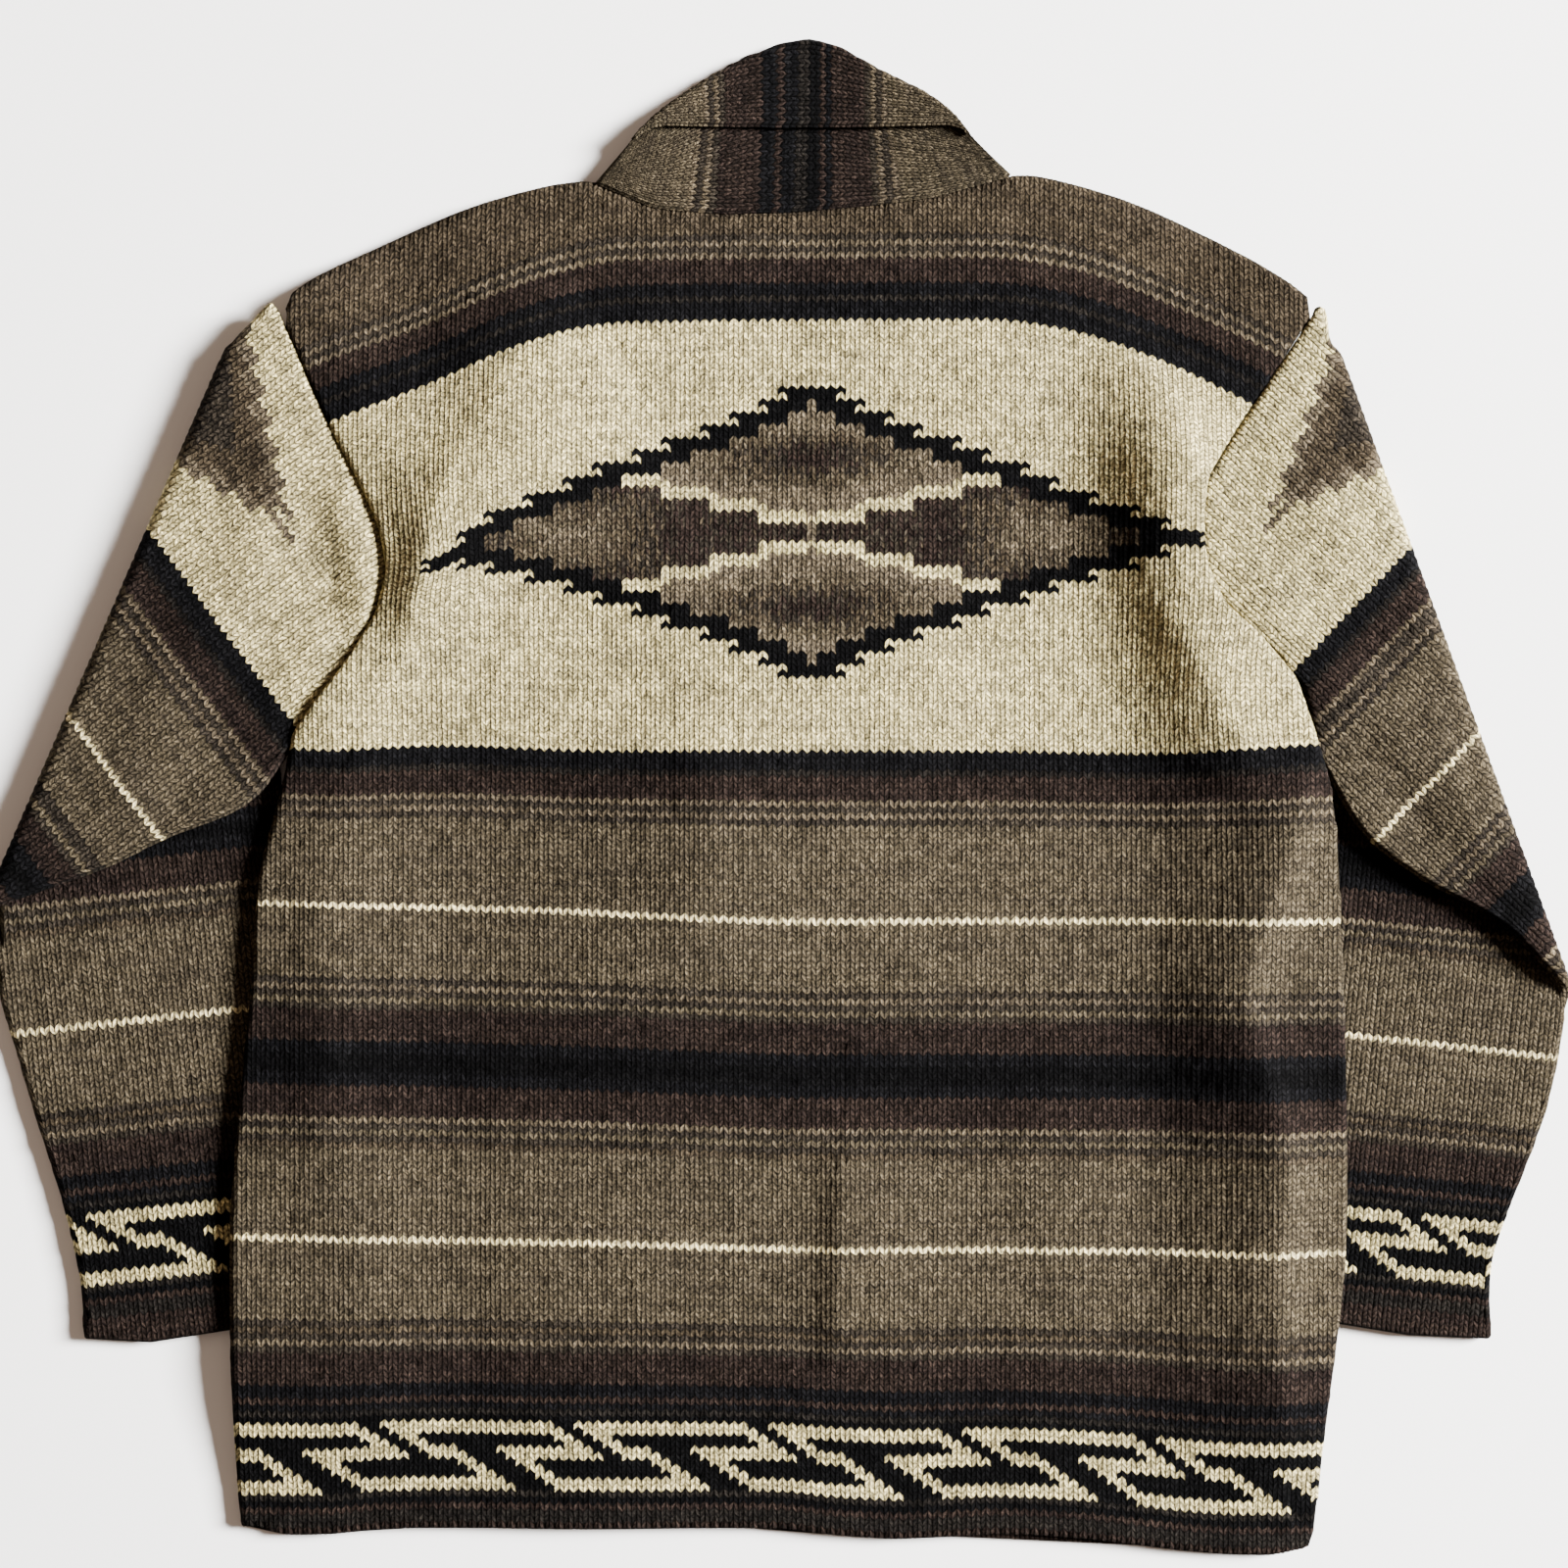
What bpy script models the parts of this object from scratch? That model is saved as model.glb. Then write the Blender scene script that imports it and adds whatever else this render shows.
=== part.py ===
# A knitted wool cardigan with a shawl collar. It lies on its front, back upwards,
# with both sleeves folded under along their outer sides.
# +X is to the right and +Y towards the collar as seen from above, and +Z is up.
# Tables and sizes are in millimetres. Meshes are made in metres.

import math

import bmesh
import bpy
from mathutils import Vector

MM = 0.001

# The cloth and the room between its layers
CLOTH = 3.0            # thickness of the knitted cloth
HALF_CLOTH = CLOTH / 2
SEAM_INSET = 0.2       # each piece stops this far short of its seam line
EDGE_ROUND = 1.2       # how far a free edge or side bulges past its faces
LAYER_GAP = 0.35       # front to back along the side and shoulder seams
MIDDLE_LOFT = 0.8      # extra room between front and back inside the seams
BAND_MEETING = 0.5     # each front band stops this far short of the centre line

# Heights of the layers
ROLL_RADIUS = 1.75     # collar and lapel: middle of the cloth round the roll
STRIP_LOW = HALF_CLOTH
LAPEL_STAND_MID = STRIP_LOW + 2 * ROLL_RADIUS
FRONT_OVER_LAPEL = LAPEL_STAND_MID - HALF_CLOTH
NECK_SAG = 2.9         # how far the back sinks into the open neck
TUBE_HALF = 2.0        # sleeve: middle of the tube to the middle of each wall
TUBE_OUTER = TUBE_HALF + HALF_CLOTH
TUBE_INNER = TUBE_HALF - HALF_CLOTH
FOLD_RADIUS = 5.0      # sleeve: middle of the tube round its fold
FOREARM_MID = TUBE_OUTER
UPPER_ARM_MID = FOREARM_MID + 2 * FOLD_RADIUS

# Grid of the body
UNDERARM = 0.64        # share of the side rows at the underarm
BODY_ROWS = 16
ARMHOLE_ROWS = 10
FRONT_COLUMNS = 10
NECK_COLUMNS = 6
BAND_COLUMNS = NECK_COLUMNS // 2
FRONT_EDGE_LEFT = 0.44     # share of the width where the front bands start
FRONT_EDGE_RIGHT = 0.56
NECK_LEFT = 0.305          # share of the top edge at each end of the neck
NECK_RIGHT = 0.71

# Grid of the sleeves and the collar
FAN_RINGS = 6
FOLD_RINGS = 5
FOREARM_RINGS = 9
CAP_STEPS = 4
SLEEVE_BOW = 46.0      # how strongly the sleeve leaves its seam square to it
SEAM_LEAN = 0.7        # how far the tube's sides lean away from the body at its seam
COLLAR_STEPS = 2 * NECK_COLUMNS
STAND_STEPS = 4
ROLL_STEPS = 4
FALL_STEPS = 3

# Sides of the body from hem to shoulder: share, left x, left y, right x, right y
SIDE_ROWS = (
    (0.00, -301, -400, 294, -414),
    (0.08, -304, -346, 297, -360),
    (0.24, -305, -235, 309, -255),
    (0.33, -301, -176, 310, -190),
    (0.44, -293, -100, 308, -105),
    (0.535, -290, -36, 306, -36),
    (0.575, -279, -9, 304, -9),
    (0.64, -270, 35, 293, 30),
    (0.69, -250, 62, 274, 79),
    (0.73, -230, 90, 249, 96),
    (0.77, -219, 116, 233, 120),
    (0.81, -220, 141, 229, 147),
    (0.86, -234, 174, 232, 177),
    (0.905, -250, 204, 256, 213),
    (1.00, -279, 271, 294, 271),
)

# Hem of the back from left to right: share, x, y
HEM_ROWS = (
    (0.000, -301, -400),
    (0.035, -281, -407),
    (0.075, -259, -408),
    (0.145, -216, -404),
    (0.33, -100, -404),
    (0.50, 0, -404),
    (0.54, 22, -407),
    (0.61, 65, -410),
    (0.70, 120, -407),
    (0.79, 173, -410),
    (0.86, 216, -416),
    (0.94, 259, -419),
    (0.975, 281, -418),
    (1.000, 294, -414),
)

# Shoulders and back neck from left to right: share, x, y
SHOULDER_ROWS = (
    (0.000, -279, 271),
    (0.06, -259, 286),
    (0.13, -216, 308),
    (0.20, -173, 326),
    (0.27, -130, 338),
    (0.305, -108, 341),
    (0.34, -89, 335),
    (0.37, -73, 326),
    (0.44, -32, 323),
    (0.52, 14, 325),
    (0.60, 59, 329),
    (0.645, 82, 332),
    (0.675, 99, 340),
    (0.71, 127, 344),
    (0.77, 151, 341),
    (0.84, 194, 328),
    (0.91, 238, 308),
    (0.96, 270, 289),
    (1.000, 294, 271),
)

# What the body's sides lie on: share, height, reach inwards at left and right
SUPPORT_ROWS = (
    (0.00, 0.0, 60, 45),
    (0.03, 0.0, 60, 45),
    (0.13, 7.5, 64, 50),
    (0.44, 7.5, 44, 58),
    (0.575, 7.8, 28, 58),
    (0.64, 10.0, 18, 44),
    (0.70, 10.0, 4, 32),
    (0.78, 10.0, 0, 6),
    (1.00, 10.0, 0, 0),
)
SUPPORT_HOLD = 8
SUPPORT_SLOPE = 58

# What the fronts' inner edges lie on: share, height, reach outwards
LAPEL_SUPPORT_ROWS = (
    (0.00, 0.0, 0),
    (0.54, 0.0, 0),
    (0.62, 1.0, 0),
    (0.73, 1.0, 20),
    (0.81, 1.0, 50),
    (0.91, 1.0, 60),
    (1.00, 1.0, 44),
)
LAPEL_HOLD = 16
LAPEL_SLOPE = 55

# Largest folds of the back, as long soft ridges and troughs:
# start x, start y, end x, end y, half width, height
BACK_FOLDS = (
    (-130, 243, -176, 200, 17, -1.6),
    (-176, 200, -214, 128, 15, -2.4),
    (-108, 222, -158, 176, 22, 3.0),
    (-158, 176, -196, 104, 24, 4.2),
    (-240, 62, -262, 30, 16, 2.4),
    (186, 232, 214, 172, 22, 3.6),
    (214, 172, 242, 104, 22, 4.4),
    (242, 104, 284, 42, 20, 3.2),
    (156, 232, 160, 176, 20, -1.8),
    (168, 134, 178, 92, 18, -2.0),
    (292, 0, 298, -128, 17, 3.4),
    (214, -30, 242, -118, 21, -2.2),
    (40, -10, 60, -90, 26, 1.8),
    (-90, -20, -110, -140, 34, 1.6),
    (150, -160, 164, -260, 30, 2.0),
    (-250, -60, -262, -180, 22, 2.0),
    (-110, -330, -116, -398, 36, 1.8),
    (150, -340, 160, -400, 34, 2.0),
)

# Top side of each sleeve from the shoulder to its fold: share, x, y
SLEEVE_TOP = {
    "left": ((0.0, -279, 271), (0.5, -290, 262), (1.0, -298, 250)),
    "right": ((0.0, 294, 271), (0.5, 297, 260), (1.0, 297, 248)),
}

# Underarm side of each upper sleeve, as far as the elbow: share, x, y
UNDERARM_SIDE = {
    "left": (
        (0.00, -270, 35),
        (0.10, -279, 18),
        (0.20, -289, 5),
        (0.30, -305, -6),
        (0.50, -344, -20),
        (0.68, -372, -35),
        (0.86, -406, -47),
        (1.00, -430, -55),
    ),
    "right": (
        (0.00, 293, 30),
        (0.10, 303, 13),
        (0.20, 313, -7),
        (0.30, 324, -22),
        (0.45, 342, -35),
        (0.60, 360, -47),
        (0.74, 382, -57),
        (0.88, 403, -71),
        (1.00, 421, -92),
    ),
}

# Fold of each sleeve from the shoulder to the elbow: share, x, y
FOLD_LINE = {
    "left": ((0.0, -298, 250), (0.5, -366, 98), (0.86, -414, -10), (1.0, -430, -55)),
    "right": ((0.0, 297, 248), (0.5, 352, 100), (0.86, 402, -40), (1.0, 421, -92)),
}

# Outer side of each forearm from the elbow to the cuff: share, x, y
FOREARM_OUTER = {
    "left": (
        (0.00, -430, -55),
        (0.12, -434, -82),
        (0.24, -430, -112),
        (0.36, -420, -143),
        (0.50, -408, -184),
        (0.64, -397, -217),
        (0.80, -388, -252),
        (0.90, -384, -274),
        (1.00, -384, -298),
    ),
    "right": (
        (0.00, 421, -92),
        (0.10, 429, -112),
        (0.22, 426, -138),
        (0.38, 419, -170),
        (0.52, 409, -198),
        (0.66, 398, -225),
        (0.80, 388, -252),
        (0.90, 386, -274),
        (1.00, 388, -298),
    ),
}

# Inner side of each forearm, under the body: share, x, y
FOREARM_INNER = {
    "left": (
        (0.0, -298, 250),
        (0.25, -272, 125),
        (0.42, -261, 35),
        (0.70, -253, -130),
        (1.0, -246, -284),
    ),
    "right": (
        (0.0, 297, 248),
        (0.25, 273, 115),
        (0.42, 260, 35),
        (0.70, 254, -130),
        (1.0, 253, -279),
    ),
}

# Edge of each cuff from its inner end to its outer end: share, x, y
CUFF_EDGE = {
    "left": ((0.0, -246, -284), (0.42, -305, -293), (0.76, -350, -300), (1.0, -384, -298)),
    "right": ((0.0, 253, -279), (0.42, 308, -290), (0.70, 345, -296), (1.0, 388, -298)),
}

# Soft ridges on the upper wall of each upper sleeve, as in BACK_FOLDS
SLEEVE_FOLDS = {
    "left": (
        (-262, 186, -300, 92, 24, 3.2),
        (-318, 96, -356, 8, 24, 2.6),
        (-300, 50, -330, 8, 15, -1.0),
    ),
    "right": (
        (282, 196, 318, 118, 22, 2.8),
        (270, 96, 340, 20, 20, 3.0),
        (360, 40, 396, -40, 20, 2.2),
    ),
}

# Back stretch of the collar from left to right:
# share, roll x, roll y, edge x, edge y, height of the stand's underside at the roll
COLLAR_ROWS = (
    (0.00, -84, 362, -80, 358, 7.1),
    (0.12, -70, 377, -66, 370, 6.9),
    (0.25, -50, 391, -47, 371, 4.2),
    (0.38, -24, 405, -22, 371, 1.6),
    (0.50, 6, 414, 8, 371, 0.6),
    (0.60, 27, 412, 29, 371, 1.0),
    (0.72, 53, 396, 53, 371, 3.4),
    (0.86, 80, 380, 77, 371, 6.8),
    (1.00, 99, 362, 94, 358, 7.1),
)
FALL_LOFT = 0.9        # the fall's edge stands this far off the stand

# Lapels from the foot of the neck opening to the collar:
# share, stand width, stand angle, fall width, fall angle
LAPEL_ROWS = (
    (0.00, 24, 6, 9, 4),
    (0.25, 22, 14, 40, 10),
    (0.50, 22, 16, 68, 12),
    (0.75, 23, 22, 76, 16),
    (0.90, 26, 34, 62, 24),
    (1.00, 30, 47, 22, 58),
)

COLOURS = {
    "back": (0.23, 0.19, 0.13),
    "front": (0.21, 0.17, 0.12),
    "sleeve": (0.19, 0.16, 0.11),
    "collar": (0.16, 0.13, 0.10),
    "band": (0.12, 0.10, 0.08),
}
WOOL_ROUGHNESS = 0.95


def ease(start, end, value):
    """A soft step from 0 at start to 1 at end."""
    share = min(1.0, max(0.0, (value - start) / (end - start)))
    return share * share * (3 - 2 * share)


def read_straight(rows, share):
    """A table's columns at a share, in straight steps between its rows."""
    for before, after in zip(rows, rows[1:]):
        if share <= after[0]:
            part = (share - before[0]) / (after[0] - before[0])
            return [a + (b - a) * part for a, b in zip(before[1:], after[1:])]
    return list(rows[-1][1:])


def read_curve(rows, share):
    """A table's columns at a share, on a smooth curve through its rows."""
    last = len(rows) - 1
    index = 0
    while index < last - 1 and share > rows[index + 1][0]:
        index += 1
    before, after = rows[index], rows[index + 1]
    span = after[0] - before[0]
    part = min(1.0, max(0.0, (share - before[0]) / span))

    def slope(at, column):
        low, high = max(0, at - 1), min(last, at + 1)
        return (rows[high][column] - rows[low][column]) / (rows[high][0] - rows[low][0])

    values = []
    for column in range(1, len(before)):
        start, end = before[column], after[column]
        leaving = slope(index, column) * span
        arriving = slope(index + 1, column) * span
        bend = 2 * (start - end) + leaving + arriving
        turn = 3 * (end - start) - 2 * leaving - arriving
        values.append(start + part * (leaving + part * (turn + part * bend)))
    return values


def point_on(rows, share):
    return Vector(read_curve(rows, share))


def patch(low, high, left, right, across, along):
    """A point of the sheet spanned by four edge curves."""
    sides = left(along).lerp(right(along), across)
    ends = low(across).lerp(high(across), along)
    corners = low(0.0).lerp(low(1.0), across).lerp(high(0.0).lerp(high(1.0), across), along)
    return sides + ends - corners


def fold_height(folds, x, y):
    """Summed height of a table of soft ridges and troughs at a place."""
    total = 0.0
    for start_x, start_y, end_x, end_y, width, height in folds:
        run_x, run_y = end_x - start_x, end_y - start_y
        length = math.hypot(run_x, run_y)
        along = ((x - start_x) * run_x + (y - start_y) * run_y) / length
        beyond = max(0.0, -along, along - length)
        aside = abs((x - start_x) * run_y - (y - start_y) * run_x) / length
        total += height * math.exp(-(aside / width) ** 2 - (beyond / width) ** 2)
    return total


def wool(name, colour):
    material = bpy.data.materials.new(name)
    material.use_nodes = True
    shader = material.node_tree.nodes["Principled BSDF"]
    shader.inputs["Base Color"].default_value = (*colour, 1.0)
    shader.inputs["Roughness"].default_value = WOOL_ROUGHNESS
    shader.inputs["Metallic"].default_value = 0.0
    return material


def finish_object(name, points, faces, material):
    mesh = bpy.data.meshes.new(name)
    mesh.from_pydata([tuple(point * MM) for point in points], [], faces)
    shell = bmesh.new()
    shell.from_mesh(mesh)
    bmesh.ops.recalc_face_normals(shell, faces=shell.faces)
    shell.to_mesh(mesh)
    shell.free()
    mesh.shade_smooth()
    mesh.set_sharp_from_angle(angle=math.radians(60))
    mesh.materials.append(material)
    piece = bpy.data.objects.new(name, mesh)
    bpy.context.collection.objects.link(piece)
    return piece


def rim_places(rows, columns):
    """Places round a grid's border, each with its neighbour inside the grid."""
    top, side = rows - 1, columns - 1
    places = [(0, column) for column in range(side)]
    places += [(row, side) for row in range(top)]
    places += [(top, column) for column in range(side, 0, -1)]
    places += [(row, 0) for row in range(top, 0, -1)]
    inner = [(min(top - 1, max(1, row)), min(side - 1, max(1, column))) for row, column in places]
    return places, inner


def sheet(name, under, over, bulge, material):
    """A closed wall between two grids of points, with a rounded rim.

    bulge gives, for a row and column on the border, how far the rim stands out.
    """
    rows, columns = len(under), len(under[0])
    points = [point for row in under for point in row]
    points += [point for row in over for point in row]
    layer = rows * columns
    faces = []
    for row in range(rows - 1):
        for column in range(columns - 1):
            first = row * columns + column
            opposite = first + columns + 1
            # both layers are cut along the same diagonal, so that sheets nest
            for corner in (first + columns, first + 1):
                faces.append((first, corner, opposite))
                faces.append((layer + opposite, layer + corner, layer + first))
    places, inner = rim_places(rows, columns)
    rim = []
    for (row, column), (inner_row, inner_column) in zip(places, inner):
        middle = (under[row][column] + over[row][column]) / 2
        inside = (under[inner_row][inner_column] + over[inner_row][inner_column]) / 2
        outward = (middle - inside).normalized()
        rim.append(len(points))
        points.append(middle + outward * bulge(row, column))
    for index, (row, column) in enumerate(places):
        following = (index + 1) % len(places)
        here = row * columns + column
        there = places[following][0] * columns + places[following][1]
        faces.append((here, there, rim[following], rim[index]))
        faces.append((rim[index], rim[following], layer + there, layer + here))
    return finish_object(name, points, faces, material)


def row_shares():
    shares = [UNDERARM * row / BODY_ROWS for row in range(BODY_ROWS + 1)]
    shares += [UNDERARM + (1 - UNDERARM) * row / ARMHOLE_ROWS for row in range(1, ARMHOLE_ROWS + 1)]
    return shares


def column_shares(share):
    """Shares of the width at a row, so that two columns follow the fronts' edges."""
    opening = max(0.0, (share - UNDERARM) / (1 - UNDERARM))
    left = FRONT_EDGE_LEFT + (NECK_LEFT - FRONT_EDGE_LEFT) * opening
    right = FRONT_EDGE_RIGHT + (NECK_RIGHT - FRONT_EDGE_RIGHT) * opening
    shares = [left * column / FRONT_COLUMNS for column in range(FRONT_COLUMNS)]
    shares += [left + (right - left) * column / NECK_COLUMNS for column in range(NECK_COLUMNS)]
    shares += [right + (1 - right) * column / FRONT_COLUMNS for column in range(FRONT_COLUMNS + 1)]
    return shares


def left_side(share):
    return Vector(read_curve(SIDE_ROWS, share)[0:2])


def right_side(share):
    return Vector(read_curve(SIDE_ROWS, share)[2:4])


def body_plan():
    """The body's outline and grid, before anything is taken off for its seams."""
    plan = []
    for share in row_shares():
        row = []
        for across in column_shares(share):
            row.append(patch(
                lambda part: point_on(HEM_ROWS, part),
                lambda part: point_on(SHOULDER_ROWS, part),
                left_side, right_side, across, share))
        plan.append(row)
    return plan


def draw_in(plan, amount):
    """The same grid with each border point moved towards the point inside it."""
    rows, columns = len(plan), len(plan[0])
    moved = [[point.copy() for point in row] for row in plan]
    for (row, column), (inner_row, inner_column) in zip(*rim_places(rows, columns)):
        inward = (plan[inner_row][inner_column] - plan[row][column]).normalized()
        moved[row][column] += inward * amount(row, column)
    return moved


def body_edge(row, column, rows, columns):
    """How a border point of the back is finished: a free edge, or a seam."""
    at_neck = row == rows - 1 and FRONT_COLUMNS <= column <= FRONT_COLUMNS + NECK_COLUMNS
    at_armhole = column in (0, columns - 1) and row >= BODY_ROWS
    return "seam" if at_neck or at_armhole else "free"


def front_floor(plan):
    """Height of the fronts' underside at each place of the body's grid."""
    heights = []
    for share, row in zip(row_shares(), plan):
        side_height, left_reach, right_reach = read_straight(SUPPORT_ROWS, share)
        lapel, lapel_reach = read_straight(LAPEL_SUPPORT_ROWS, share)
        left_edge, right_edge = row[FRONT_COLUMNS].x, row[FRONT_COLUMNS + NECK_COLUMNS].x
        line = []
        for point in row:
            from_left = point.x - row[0].x - left_reach - SUPPORT_HOLD
            from_right = row[-1].x - point.x - right_reach - SUPPORT_HOLD
            sides = 1 - ease(0, SUPPORT_SLOPE, min(from_left, from_right))
            aside = max(left_edge - point.x, point.x - right_edge) - lapel_reach - LAPEL_HOLD
            inner = lapel * (1 - ease(0, LAPEL_SLOPE, aside))
            line.append(max(side_height * sides, FRONT_OVER_LAPEL * inner))
        heights.append(line)
    return heights


def back_floor(plan, floor):
    """Height of the back's underside: the fronts' upper side, room and folds."""
    rows, columns = len(plan), len(plan[0])
    heights = []
    for row in range(rows):
        left_edge = plan[row][FRONT_COLUMNS].x
        right_edge = plan[row][FRONT_COLUMNS + NECK_COLUMNS].x
        line = []
        for column in range(columns):
            point = plan[row][column]
            inside = min(point.x - plan[row][0].x, plan[row][-1].x - point.x)
            loft = MIDDLE_LOFT * ease(0, 40, inside)
            if row > BODY_ROWS - 1:
                loft *= ease(0, 3, rows - 1 - row)
            fold = fold_height(BACK_FOLDS, point.x, point.y)
            lift = max(0.0, loft + fold * ease(-5, 22, inside))
            if row > BODY_ROWS:
                in_neck = min(point.x - left_edge, right_edge - point.x)
                lift -= NECK_SAG * ease(44, 100, in_neck)
            line.append(floor[row][column] + CLOTH + LAYER_GAP + lift)
        heights.append(line)
    return heights


def raised(plan, heights, extra=0.0):
    return [[Vector((point.x, point.y, height + extra)) for point, height in zip(*pair)]
            for pair in zip(plan, heights)]


def columns_of(grid, first, last):
    return [row[first:last + 1] for row in grid]


def make_back(plan, heights, material):
    rows, columns = len(plan), len(plan[0])

    def bulge(row, column):
        return EDGE_ROUND if body_edge(row, column, rows, columns) == "free" else 0.0

    return sheet("back", raised(plan, heights), raised(plan, heights, CLOTH), bulge, material)


def make_front(name, plan, floor, side, material):
    """One front, on the same grid as the back that lies on it."""
    first = 0 if side == "left" else FRONT_COLUMNS + NECK_COLUMNS
    last = first + FRONT_COLUMNS
    own = columns_of(plan, first, last)
    inner = FRONT_COLUMNS if side == "left" else 0
    outer = FRONT_COLUMNS - inner

    def short_of_seam(row, column):
        return SEAM_INSET if column == inner else 0.0

    def bulge(row, column):
        at_armhole = column == outer and row >= BODY_ROWS
        return 0.0 if column == inner or at_armhole else EDGE_ROUND

    own = draw_in(own, short_of_seam)
    heights = columns_of(floor, first, last)
    return sheet(name, raised(own, heights), raised(own, heights, CLOTH), bulge, material)


def make_band(name, plan, floor, side, material):
    """The straight front band, from the hem to the foot of the neck opening."""
    first = FRONT_COLUMNS if side == "left" else FRONT_COLUMNS + BAND_COLUMNS
    own = columns_of(plan[:BODY_ROWS + 1], first, first + BAND_COLUMNS)
    heights = columns_of(floor[:BODY_ROWS + 1], first, first + BAND_COLUMNS)
    centre = BAND_COLUMNS if side == "left" else 0
    seam = BAND_COLUMNS - centre

    def short_of_seam(row, column):
        if column == centre:
            return BAND_MEETING + EDGE_ROUND
        if row == BODY_ROWS or column == seam:
            return SEAM_INSET
        return 0.0

    def bulge(row, column):
        return 0.0 if row == BODY_ROWS or column == seam else EDGE_ROUND

    own = draw_in(own, short_of_seam)
    return sheet(name, raised(own, heights), raised(own, heights, CLOTH), bulge, material)


def strip_walls(sections):
    """Lower and upper grids of a folded strip from its middle points and normals."""
    under = [[middle - normal * HALF_CLOTH for middle, normal in section] for section in sections]
    over = [[middle + normal * HALF_CLOTH for middle, normal in section] for section in sections]
    return under, over


def turned_section(start, roll, edge, start_mid, roll_mid, edge_mid, turn, steps):
    """One section of a strip that runs out to its roll, turns over and runs back.

    turn is 1 when the strip turns upwards and -1 when it turns down.
    """
    out_steps, roll_steps, back_steps = steps
    outward = (roll - start).normalized()
    lift = 2 * ROLL_RADIUS * turn
    section = []
    for step in range(out_steps):
        share = step / out_steps
        place = start.lerp(roll, share)
        height = start_mid + (roll_mid - start_mid) * share
        section.append((Vector((place.x, place.y, height)), Vector((0, 0, -turn))))
    for step in range(roll_steps + 1):
        angle = math.pi * step / roll_steps
        place = roll + outward * ROLL_RADIUS * math.sin(angle)
        height = roll_mid + lift * (1 - math.cos(angle)) / 2
        level = outward * math.sin(angle)
        section.append((Vector((place.x, place.y, height)),
                        Vector((level.x, level.y, -turn * math.cos(angle)))))
    for step in range(1, back_steps + 1):
        share = step / back_steps
        place = roll.lerp(edge, share)
        height = roll_mid + lift + (edge_mid - roll_mid - lift) * share
        section.append((Vector((place.x, place.y, height)), Vector((0, 0, turn))))
    return section


def make_collar(plan, heights, material):
    """The back stretch of the collar: a stand from the neck seam, and its fall."""
    top = len(plan) - 1
    sections = []
    for step in range(COLLAR_STEPS + 1):
        share = step / COLLAR_STEPS
        column = FRONT_COLUMNS + min(NECK_COLUMNS - 1, step * NECK_COLUMNS // COLLAR_STEPS)
        part = share * NECK_COLUMNS - (column - FRONT_COLUMNS)
        start = plan[top][column].lerp(plan[top][column + 1], part)
        start_floor = heights[top][column] + (heights[top][column + 1] - heights[top][column]) * part
        roll_x, roll_y, edge_x, edge_y, roll_floor = read_curve(COLLAR_ROWS, share)
        roll, edge = Vector((roll_x, roll_y)), Vector((edge_x, edge_y))
        start = start + (roll - start).normalized() * 2 * SEAM_INSET
        start_mid = start_floor + HALF_CLOTH
        roll_mid = roll_floor + HALF_CLOTH
        covered = (edge - roll).length / (start - roll).length
        stand_under_edge = roll_mid + (start_mid - roll_mid) * covered
        edge_mid = max(stand_under_edge, roll_mid) + 2 * ROLL_RADIUS + FALL_LOFT
        sections.append(turned_section(
            start, roll, edge, start_mid, roll_mid, edge_mid, 1,
            (STAND_STEPS, ROLL_STEPS, FALL_STEPS)))
    under, over = strip_walls(sections)
    last = len(sections[0]) - 1

    def bulge(row, column):
        return EDGE_ROUND if column == last else 0.0

    return sheet("collar", under, over, bulge, material)


def make_lapel(name, plan, side, material):
    """The collar's stretch along one neck edge, turned under onto the front."""
    edge_column = FRONT_COLUMNS if side == "left" else FRONT_COLUMNS + NECK_COLUMNS
    inward = 1 if side == "left" else -1

    def way(degrees):
        angle = math.radians(degrees)
        return Vector((inward * math.cos(angle), math.sin(angle)))

    sections = []
    for row in range(BODY_ROWS, len(plan)):
        share = (row - BODY_ROWS) / ARMHOLE_ROWS
        stand, stand_angle, fall, fall_angle = read_curve(LAPEL_ROWS, share)
        seam = plan[row][edge_column]
        if row == BODY_ROWS:
            seam = seam + Vector((0, SEAM_INSET))
        roll = seam + way(stand_angle) * stand
        edge = roll - way(fall_angle) * fall
        start = seam + way(stand_angle) * SEAM_INSET
        sections.append(turned_section(
            start, roll, edge, LAPEL_STAND_MID, LAPEL_STAND_MID, STRIP_LOW, -1,
            (2, ROLL_STEPS, FALL_STEPS)))
    under, over = strip_walls(sections)
    last = len(sections[0]) - 1

    def bulge(row, column):
        return EDGE_ROUND if column == last else 0.0

    return sheet(name, under, over, bulge, material)


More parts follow.
